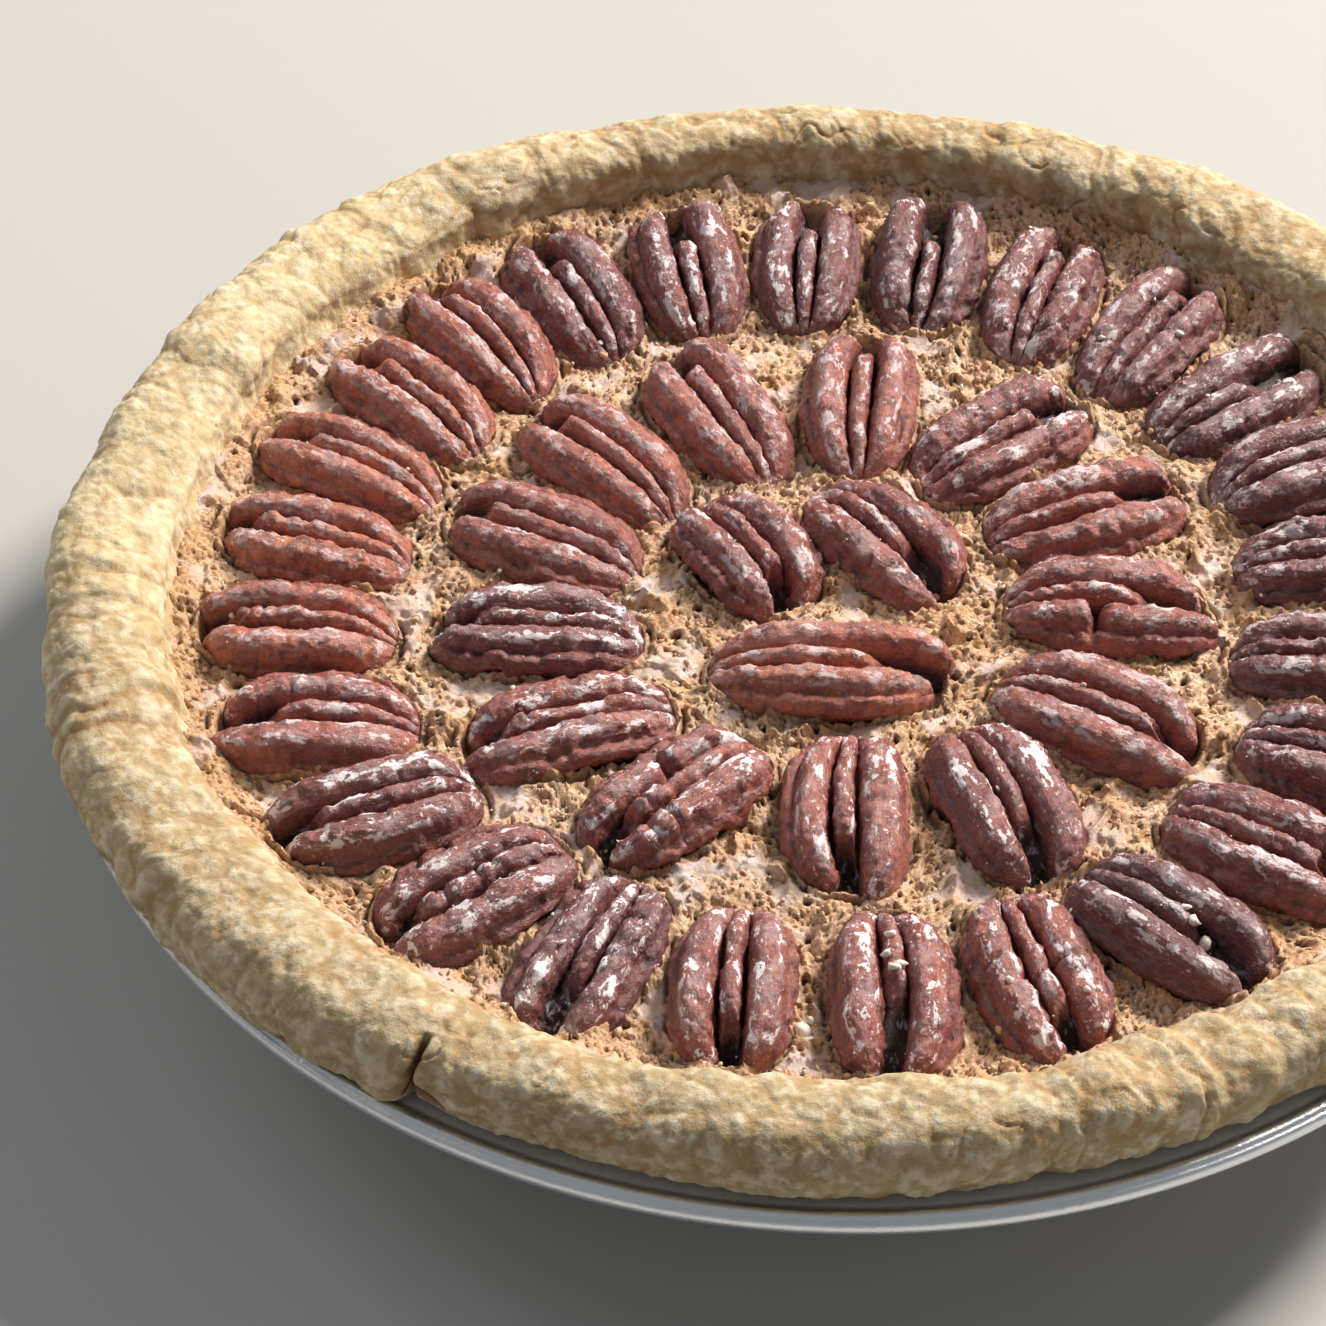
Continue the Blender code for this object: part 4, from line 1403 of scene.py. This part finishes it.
        # Share of browner front: partly real bake, partly painted shade.
        bake_and_shade = self.strength(self.browning_and_shade, angle) + 0.0 * radii
        warp = 3.4 * soft[2].at(places / 12.0) + 1.2 * soft[3].at(places / 4.2)
        line = girth + 0.22 * run * np.sin(turn * 2.0 + 0.9) + 13.0 * np.square(share - 0.42) + warp
        lumps = 0.95 * soft[0].layers(places / 14.0, 2) + 0.30 * soft[1].layers(places / 5.5, 2)
        swell = [soft[4].at(places / 8.0), soft[5].at(places / 3.4)]
        rough_here = 1.0 - 0.45 * ease(0.3, 0.9, pinch)
        blister = (0.95 * np.abs(swell[0]) ** 0.65 + 0.30 * np.abs(swell[1]) ** 0.65 - 0.55) * rough_here
        valley = np.maximum(bell(swell[0], 0.045), 0.5 * bell(swell[1], 0.05))
        way, left, own = self.cuts(line + 2.4 * soft[17].at(places / 8.0), self.fold_length, 1)
        parted = np.maximum(ease(-0.30, 0.22, soft[18].at(places / 9.5)), ease(0.6, 1.0, finely))
        parted = parted * (0.35 + 0.65 * own)
        broad = parted * (np.power(way, 0.8) * ease(0.0, 3.0, left) - 0.45)
        way2, left2, own2 = self.cuts(line + 1.4 * soft[6].at(places / 5.0), self.scale_length, 2)
        scale = (0.1 + 0.9 * own2 * own2) * (np.power(way2, 0.9) * ease(0.0, 1.1, left2) - 0.4)
        lip = bell(left2 - 0.1, 0.40) * own2 * own2 * finely
        way3, left3, own3 = self.cuts(line + 0.8 * soft[7].at(places / 2.6), self.wrinkle_length, 3)
        patchy = ease(-0.35, 0.35, soft[8].at(places / 7.0)) * (0.35 + 0.65 * pinch) * finely
        wrinkle = (0.3 + 0.7 * own3) * (np.power(way3, 0.8) * ease(0.0, 0.4, left3) - 0.4) * patchy
        shift = np.stack([soft[9].at(places / 1.6), soft[10].at(places / 1.6)], axis=-1)
        large, small = self.large_flakes, self.small_flakes
        away, plate = Pits(self.seed + 60, large).nearest(
            np.stack([line / self.girth * large, run / 2.3], axis=-1) + 0.30 * shift)
        _, plate4 = Pits(self.seed + 61, small).nearest(
            np.stack([line / self.girth * small, run / 1.3], axis=-1) + 0.35 * shift)
        plates = 0.16 * (plate - 0.5) * ease(0.72, 0.40, away) + 0.09 * (plate4 - 0.5) * rough_here
        cobble = soft[16].layers(places / 2.5, 2, 0.6)
        grit = 0.07 * soft[11].layers(places / 1.0, 2, 0.6) + 0.26 * cobble
        cracks = soft[12].ridges(places / 6.0, 26.0) * ease(0.05, 0.5, soft[13].at(places / 11.0))
        ragged = 0.8 * soft[15].layers(places / 2.4, 2) * ease(0.10, 0.0, share)
        out = (lumps + 0.8 * blister + 1.7 * broad * pinch + 0.70 * scale * pinch * finely + 0.30 * wrinkle
               + plates + grit + ragged - 0.45 * cracks)
        before = np.minimum(np.abs(girth), np.abs(self.girth - girth))
        after_seam = (girth >= 0.0) & (girth < 0.5 * self.girth) | (girth >= self.girth)
        slit = bell(before, 0.50) * ease(0.43, 0.35, share)
        tucked = np.where(after_seam, bell(before, 5.5), bell(before, 1.6)) * ease(0.30, 0.16, share)
        out = out * (1.0 - 0.8 * tucked) - 4.0 * slit - 3.6 * tucked * ease(0.24, 0.03, share)
        # Creases, valleys, cracks and the slit, for painted shade that is partly real toasting.
        fold = np.clip(0.70 * lip * pinch + 0.35 * bell(left3 - 0.1, 0.3) * patchy + 0.45 * valley
                       + 0.9 * bell(left + 0.1, 1.0) * pinch * parted + 0.7 * cracks + slit, 0.0, 1.0)
        # Raised scales, plates, cobbles and blisters, for painted highlight that is partly flour.
        crest = np.clip(0.6 * bell(left2 - 1.6, 0.8) * own2 * pinch + 0.5 * ease(0.60, 0.95, plate4)
                        + 0.9 * ease(0.02, 0.45, cobble) + ease(0.2, 0.75, blister) * 0.4, 0.0, 1.0)
        # Hollows, for painted shade that is partly real toasting.
        sunk = np.maximum(ease(0.25, -0.8, out), 0.55 * ease(0.0, -0.40, cobble))
        marks = {"crest": crest * (1.0 - fold), "fold": fold, "plate": plate, "sunk": sunk, "slit": slit,
                 "bake_and_shade": bake_and_shade}
        return out * shown, marks

    def half(self, number: int) -> Piece:
        """One closed half of the case, swept from the seam half way round.

        It is worked out one column too far at both ends, so that the halves' normals agree where they meet.
        """
        start = math.radians(self.seam_turn) + number * math.pi
        step = math.pi / (self.columns - 1)
        angle = start + step * np.arange(-1, self.columns + 1)
        radii, heights = self.section(angle)
        rows = len(radii)
        first, last = self.under_rows, rows - self.inside_rows
        shown = np.zeros((rows, 1))
        shown[first:last] = 1.0
        shown[first:first + len(self.fade_in), 0] = self.fade_in
        shown[last - len(self.fade_out):last, 0] = self.fade_out
        out, marks = self.folds(angle, radii, heights, shown)
        grid = np.stack([radii * np.cos(angle), radii * np.sin(angle), heights], axis=-1)
        grid = grid - surface_normals(grid, False, False) * (out * MM)[..., None]
        normals = -surface_normals(grid, False, False)[:, 1:-1].reshape(-1, 3)
        grid = grid[:, 1:-1]
        count = rows * self.columns
        poles = np.array([[0.0, 0.0, self.base], [0.0, 0.0, self.floor]])
        points = np.concatenate([grid.reshape(-1, 3), poles])
        index = np.arange(count).reshape(rows, self.columns)
        bottom = np.stack([index[0, 1:], index[0, :-1], np.full(self.columns - 1, count)], axis=-1)
        inside = np.stack([index[-1, :-1], index[-1, 1:], np.full(self.columns - 1, count + 1)], axis=-1)
        ends = [np.concatenate([[count], index[:, 0], [count + 1]])[None, :],
                np.concatenate([[count + 1], index[::-1, -1], [count]])[None, :]]
        quads = grid_faces(rows, self.columns, False)
        padded = {mark: np.append(values[:, 1:-1].ravel(), [0.0, 0.0]) for mark, values in marks.items()}
        normals = np.concatenate([normals, [[0.0, 0.0, -1.0], [0.0, 0.0, 1.0]]])
        return Piece(f"crust_half_{number + 1}", points, [quads, bottom, inside, *ends], padded, normals)

    def build(self, ground: Ground) -> None:
        """Build both halves."""
        for number in range(2):
            piece = self.half(number)
            piece.build(self.finish, Slot.PASTRY, ("crust",))
            ground.add(piece.points)


# ---------------------------------------------------------------------------------------------
# Tin
# ---------------------------------------------------------------------------------------------


@dataclass
class PieTin:
    """The turned tin: flat base, sloping wall, flat flange and a rolled edge."""

    columns: int = 360
    sheet: float = 0.8 * MM
    bead_radius: float = 1.7 * MM
    bead_dent: float = 0.14
    bead_dent_turn: float = 58.0
    # Turn where the rolled edge's painted light is brightest, in degrees.
    lit_turn: float = 295.0
    corner: float = 3.0 * MM
    finish: TinFinish = field(default_factory=TinFinish)

    def __post_init__(self) -> None:
        """Read the tin's main sizes from its CAD node."""
        low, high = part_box("tin")
        self.rim_radius = 0.5 * (high.x - low.x)
        self.top = high.z
        self.flange = self.top - 1.0 * MM
        points = node_points("tin")
        radius = np.hypot(points[:, 0], points[:, 1])
        self.base_radius = float(radius[points[:, 2] < 0.1 * MM].max())
        under = (points[:, 2] < self.flange - 0.5 * MM) & (points[:, 2] > self.flange - 1.0 * MM)
        self.wall_radius = float(radius[under].min())

    def rounded(self, path: list[Spot], radius: float, steps: int = 6) -> list[Spot]:
        """A path with each inner corner replaced by a quadratic curve that starts a radius before it."""
        shaped = [path[0]]
        for before, here, after in zip(path, path[1:], path[2:]):
            before, here, after = (np.array(point) for point in (before, here, after))
            reach = min(radius, 0.45 * np.linalg.norm(here - before), 0.45 * np.linalg.norm(after - here))
            enter = here + (before - here) / np.linalg.norm(before - here) * reach
            leave = here + (after - here) / np.linalg.norm(after - here) * reach
            for way in np.linspace(0.0, 1.0, steps):
                point = (1 - way) ** 2 * enter + 2 * way * (1 - way) * here + way ** 2 * leave
                shaped.append((float(point[0]), float(point[1])))
        shaped.append(path[-1])
        return shaped

    def profile(self) -> Array:
        """The tin's half section: inside from the middle to the flange, the rolled edge, and back under."""
        slope = (self.wall_radius - self.base_radius) / (self.flange - self.sheet)
        shift = self.sheet * math.hypot(1.0, slope)
        inside = self.rounded([(2 * MM, self.sheet),
                               (self.base_radius - shift + slope * self.sheet, self.sheet),
                               (self.wall_radius - shift + slope * self.sheet, self.flange),
                               (self.rim_radius - 2 * self.bead_radius - 0.6 * MM, self.flange)], self.corner)
        centre = (self.rim_radius - self.bead_radius, self.top - self.bead_radius)
        start = math.pi - math.asin((self.flange - centre[1]) / self.bead_radius)
        sweep = np.linspace(start, start - 1.85 * math.pi, 44)
        dent = self.bead_dent * bell(sweep - math.radians(self.bead_dent_turn), 0.20)
        reach = self.bead_radius * (1.0 - dent)
        bead = [(centre[0] + float(r) * math.cos(a), centre[1] + float(r) * math.sin(a))
                for r, a in zip(reach, sweep)]
        under = self.rounded([(self.rim_radius - 2 * self.bead_radius - 0.3 * MM, self.flange - self.sheet),
                              (self.wall_radius, self.flange - self.sheet), (self.base_radius, 0.0),
                              (2 * MM, 0.0)], self.corner)
        return np.array(inside + bead + under)

    def build(self, ground: Ground) -> None:
        """Turn the section about Z and close it on the axis."""
        profile = self.profile()
        rows = len(profile)
        angle = np.linspace(0.0, math.tau, self.columns, endpoint=False)
        grid = np.stack([profile[:, :1] * np.cos(angle), profile[:, :1] * np.sin(angle),
                         profile[:, 1:] + 0.0 * angle], axis=-1)
        poles = np.array([[0.0, 0.0, self.sheet], [0.0, 0.0, 0.0]])
        points = np.concatenate([grid.reshape(-1, 3), poles])
        count = rows * self.columns
        faces = [grid_faces(rows, self.columns, True)[:, ::-1], fan_faces(np.arange(self.columns), count),
                 fan_faces(np.arange(count - self.columns, count)[::-1], count + 1)]
        turn = np.degrees(np.arctan2(points[:, 1], points[:, 0])) - self.lit_turn
        # Painted light: 1 within 35 degrees of the lit turn, 0 beyond 85.
        lit_side = ease(85.0, 35.0, np.abs((turn + 180.0) % 360.0 - 180.0))
        radius = np.hypot(points[:, 0], points[:, 1])
        rolled = ease(self.rim_radius - 2.25 * self.bead_radius,
                      self.rim_radius - 1.7 * self.bead_radius, radius)
        dusted = ease(self.wall_radius - 2.0 * MM, self.wall_radius, radius) * (1.0 - rolled)
        dusted *= points[:, 2] > self.flange - 0.2 * MM
        # Rolled edge brightened, most round the front right as painted light.
        marks = {"worn_and_lit": rolled * (0.3 + 0.7 * lit_side), "dusted": dusted}
        Piece("tin_sheet", points, faces, marks).build(self.finish, Slot.TIN, ("tin",))
        ground.add(points)


# ---------------------------------------------------------------------------------------------
# Crumbs
# ---------------------------------------------------------------------------------------------


@dataclass
class Crumbs:
    """Loose crumbs, pale flakes and syrup beads that lie on the pie, each kind merged into one mesh."""

    ground: Ground
    reach: float = 97.0 * MM
    flange_radius: float = 113.6 * MM
    flange_crumb_turn: float = 306.5
    crumb_count: int = 3200
    bead_count: int = 1100
    stray_beads: int = 260
    foot_crumbs: int = 150
    dough_crumbs: int = 50
    flange_crumbs: int = 7
    pale_crumbs: int = 46
    seed: int = 77
    pale_bits: dict[str, list[Spot]] = field(default_factory=lambda: {
        "pecan_outer_06": [(0.44, 0.60), (0.50, 0.52), (0.55, 0.55), (0.47, 0.72)],
        "pecan_outer_08": [(0.60, 0.45), (0.66, 0.38), (0.56, 0.52)],
        "pecan_outer_05": [(1.04, 0.30), (1.10, 0.34), (1.07, 0.24)],
        "pecan_outer_07": [(0.80, 0.30), (0.30, 0.35)]})

    def __post_init__(self) -> None:
        """Throw the dice once for all kinds."""
        self.dice = np.random.default_rng(self.seed)

    def lump(self) -> tuple[Array, Array]:
        """A ball of 18 points and 32 faces: an octahedron with its edges halved and pushed out to 1."""
        corners = np.concatenate([np.eye(3), -np.eye(3)])
        faces = [(a, b, c) for a in (0, 3) for b in (1, 4) for c in (2, 5)]
        faces = [(a, b, c) if np.linalg.det(corners[[a, b, c]]) > 0 else (a, c, b) for a, b, c in faces]
        edges = sorted({tuple(sorted(pair)) for a, b, c in faces for pair in ((a, b), (b, c), (c, a))})
        halfway = {edge: 6 + number for number, edge in enumerate(edges)}
        mids = np.array([corners[a] + corners[b] for a, b in edges]) / math.sqrt(2.0)
        split = []
        for a, b, c in faces:
            ab, bc, ca = (halfway[tuple(sorted(pair))] for pair in ((a, b), (b, c), (c, a)))
            split += [(a, ab, ca), (b, bc, ab), (c, ca, bc), (ab, bc, ca)]
        return np.concatenate([corners, mids]), np.array(split)

    def laid(self, name: str, plane: Array, sizes: Array, uneven: float, sink: float) -> Piece:
        """One lump at each place.

        Each is stretched by its own shares, turned at random, roughened point by point, and laid so that
        it sinks by a share of its size.

        Args:
            name: the piece's name.
            plane: places on the pie.
            sizes: mean radius of each lump, in metres.
            uneven: how far its shares and points stray from a ball's.
            sink: how deep it lies, in its own radii.
        """
        ball, faces = self.lump()
        count = len(plane)
        turn = np.linalg.qr(self.dice.normal(size=(count, 3, 3)))[0]
        turn *= np.sign(np.linalg.det(turn))[:, None, None]
        shares = 1.0 + uneven * self.dice.uniform(-0.6, 0.6, (count, 1, 3))
        rough = 1.0 + uneven * self.dice.uniform(-0.35, 0.35, (count, len(ball), 1))
        shapes = np.einsum("nij,nkj->nki", turn, ball * shares * rough) * sizes[:, None, None]
        centres = np.column_stack([plane, self.ground.at(plane) + sizes * (0.6 - sink)])
        points = (shapes + centres[:, None, :]).reshape(-1, 3)
        numbers = (faces[None] + len(ball) * np.arange(count)[:, None, None]).reshape(-1, 3)
        return Piece(name, points, [numbers])

    def scattered(self, count: int, low: float, high: float) -> Array:
        """Places at random over a ring between two shares of the reach, evenly by area."""
        radius = self.reach * np.sqrt(self.dice.uniform(low * low, high * high, count))
        angle = self.dice.uniform(0.0, math.tau, count)
        return np.stack([radius * np.cos(angle), radius * np.sin(angle)], axis=-1)

    def low(self, plane: Array) -> Array:
        """Those of the places that lie on the crumb itself, away from nuts and crust."""
        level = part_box("filling")[1].z + 2.6 * MM
        steps = [(0.0, 0.0), (1.6, 0.0), (-1.6, 0.0), (0.0, 1.6), (0.0, -1.6)]
        highest = np.stack([self.ground.at(plane + np.array(step) * MM) for step in steps]).max(axis=0)
        return plane[highest < level]

    def beside(self, node: str, shares: list[Spot]) -> Array:
        """Places over a pecan half's box, given as shares of its width and depth."""
        low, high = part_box(node)
        return np.array([[low.x + a * (high.x - low.x), low.y + b * (high.y - low.y)] for a, b in shares])

    def build(self) -> None:
        """Scatter the crumbs, the flakes and the beads, and lay a few pale bits at listed places."""
        draw = self.dice.uniform
        low = self.low(self.scattered(self.crumb_count, 0.0, 0.99))
        self.laid("filling_crumbs", low, draw(0.20, 0.55, len(low)) * MM, 0.9, 0.45).build(
            FillingFinish(), Slot.FILLING)
        foot = np.concatenate([self.low(self.scattered(self.foot_crumbs, 0.94, 1.0)),
                               self.low(self.scattered(self.dough_crumbs, 0.3, 0.95))])
        angle = np.radians(np.append(draw(150.0, 340.0, self.flange_crumbs), [self.flange_crumb_turn]))
        flange = self.flange_radius * np.stack([np.cos(angle), np.sin(angle)], axis=-1)
        flange = flange[self.ground.at(flange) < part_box("tin")[1].z + 0.8 * MM]
        dough = np.concatenate([foot, flange])
        self.laid("pastry_crumbs", dough, draw(0.22, 0.55, len(dough)) * MM, 0.9, 0.3).build(
            PastryFinish(), Slot.PASTRY)
        wet = np.concatenate([self.low(self.scattered(self.bead_count, 0.0, 0.99)),
                              self.scattered(self.stray_beads, 0.0, 0.97)])
        self.laid("syrup_beads", wet, draw(0.08, 0.21, len(wet)) * MM, 0.25, 0.3).build(
            BeadFinish(), Slot.FILLING)
        by_hand = np.concatenate([self.beside(node, shares) for node, shares in self.pale_bits.items()])
        pale = np.concatenate([by_hand, self.scattered(self.pale_crumbs, 0.4, 0.99)])
        sizes = np.concatenate([draw(0.5, 1.0, len(by_hand)), draw(0.2, 0.5, len(pale) - len(by_hand))]) * MM
        self.laid("pale_flakes", pale, sizes, 1.0, 0.3).build(FlakeFinish(), Slot.PECAN)


# ---------------------------------------------------------------------------------------------
# Studio
# ---------------------------------------------------------------------------------------------


@dataclass(frozen=True)
class Lamp:
    """A square soft light: its place and side in metres, its power in watts, and its tint."""

    name: str
    place: tuple[float, float, float]
    size: float
    power: float
    tint: Colour


@dataclass
class Studio:
    """Plain pale floor, soft lights, and a camera that looks down on the pie through a long lens."""

    floor_half: float = 2.2
    rise: float = 44.1
    away: float = 0.7544
    lens: float = 135.7
    sensor: float = 36.0
    stand: tuple[float, float] = (-0.0012, 0.0004)
    aim: tuple[float, float, float] = (-0.0255, -0.0119, 0.0309)
    roll: float = 0.37
    lit: tuple[float, float, float] = (0.0, 0.0, 0.03)
    glow: Colour = (0.93, 0.96, 1.0)
    glow_strength: float = 0.245
    lamps: tuple[Lamp, ...] = (
        Lamp("key", (1.18, 1.24, 1.36), 0.56, 97.0, (1.0, 0.94, 0.86)),
        Lamp("fill", (-1.2, 0.70, 0.95), 0.9, 6.0, (0.94, 0.97, 1.0)))

    def build(self) -> None:
        """Lay the floor, hang the lights and set the camera."""
        self.lay_floor()
        self.light_air()
        for lamp in self.lamps:
            self.hang_light(lamp)
        bpy.context.scene.view_settings.view_transform = "Standard"
        self.set_camera()

    def lay_floor(self) -> None:
        """A flat square at z = 0."""
        half = self.floor_half
        corners = [(-half, -half, 0.0), (half, -half, 0.0), (half, half, 0.0), (-half, half, 0.0)]
        mesh = bpy.data.meshes.new("floor")
        mesh.from_pydata(corners, [], [(0, 1, 2, 3)])
        mesh.materials.append(FloorFinish().material())
        floor = bpy.data.objects.new("floor", mesh)
        bpy.context.scene.collection.objects.link(floor)

    def light_air(self) -> None:
        """An even pale glow from all round."""
        world = bpy.data.worlds.new("studio_air")
        world.use_nodes = True
        glow = world.node_tree.nodes["Background"]
        glow.inputs["Color"].default_value = (*self.glow, 1.0)
        glow.inputs["Strength"].default_value = self.glow_strength
        bpy.context.scene.world = world

    def hang_light(self, lamp: Lamp) -> None:
        """Hang a lamp so that it faces the pie."""
        light = bpy.data.lights.new(lamp.name, "AREA")
        light.size = lamp.size
        light.energy = lamp.power
        light.color = lamp.tint
        hung = bpy.data.objects.new(lamp.name, light)
        hung.location = lamp.place
        facing = Vector(self.lit) - Vector(lamp.place)
        hung.rotation_euler = facing.to_track_quat("-Z", "Y").to_euler()
        bpy.context.scene.collection.objects.link(hung)

    def set_camera(self) -> None:
        """Stand the camera in front of the pie, aim it a little to the left, and roll it slightly."""
        lens = bpy.data.cameras.new("camera")
        lens.lens = self.lens
        lens.sensor_width = self.sensor
        lens.clip_start, lens.clip_end = 0.01, 50.0
        camera = bpy.data.objects.new("camera", lens)
        rise = math.radians(self.rise)
        place = Vector((self.stand[0], self.stand[1] - self.away * math.cos(rise),
                        self.aim[2] + self.away * math.sin(rise)))
        look = (Vector(self.aim) - place).to_track_quat("-Z", "Y").to_matrix().to_4x4()
        camera.matrix_world = (Matrix.Translation(place) @ look
                               @ Matrix.Rotation(math.radians(self.roll), 4, "Z"))
        bpy.context.scene.collection.objects.link(camera)
        bpy.context.scene.camera = camera


def main() -> None:
    """Build the pie piece by piece, then the studio."""
    logging.basicConfig(level=logging.INFO, format="%(name)s: %(message)s")
    ground = Ground()
    nuts = PecanRings()
    nuts.build(ground)
    Filling(nuts.halves).build(ground)
    PastryCase().build(ground)
    PieTin().build(ground)
    Crumbs(ground).build()
    Studio().build()


if __name__ == "__main__":
    main()
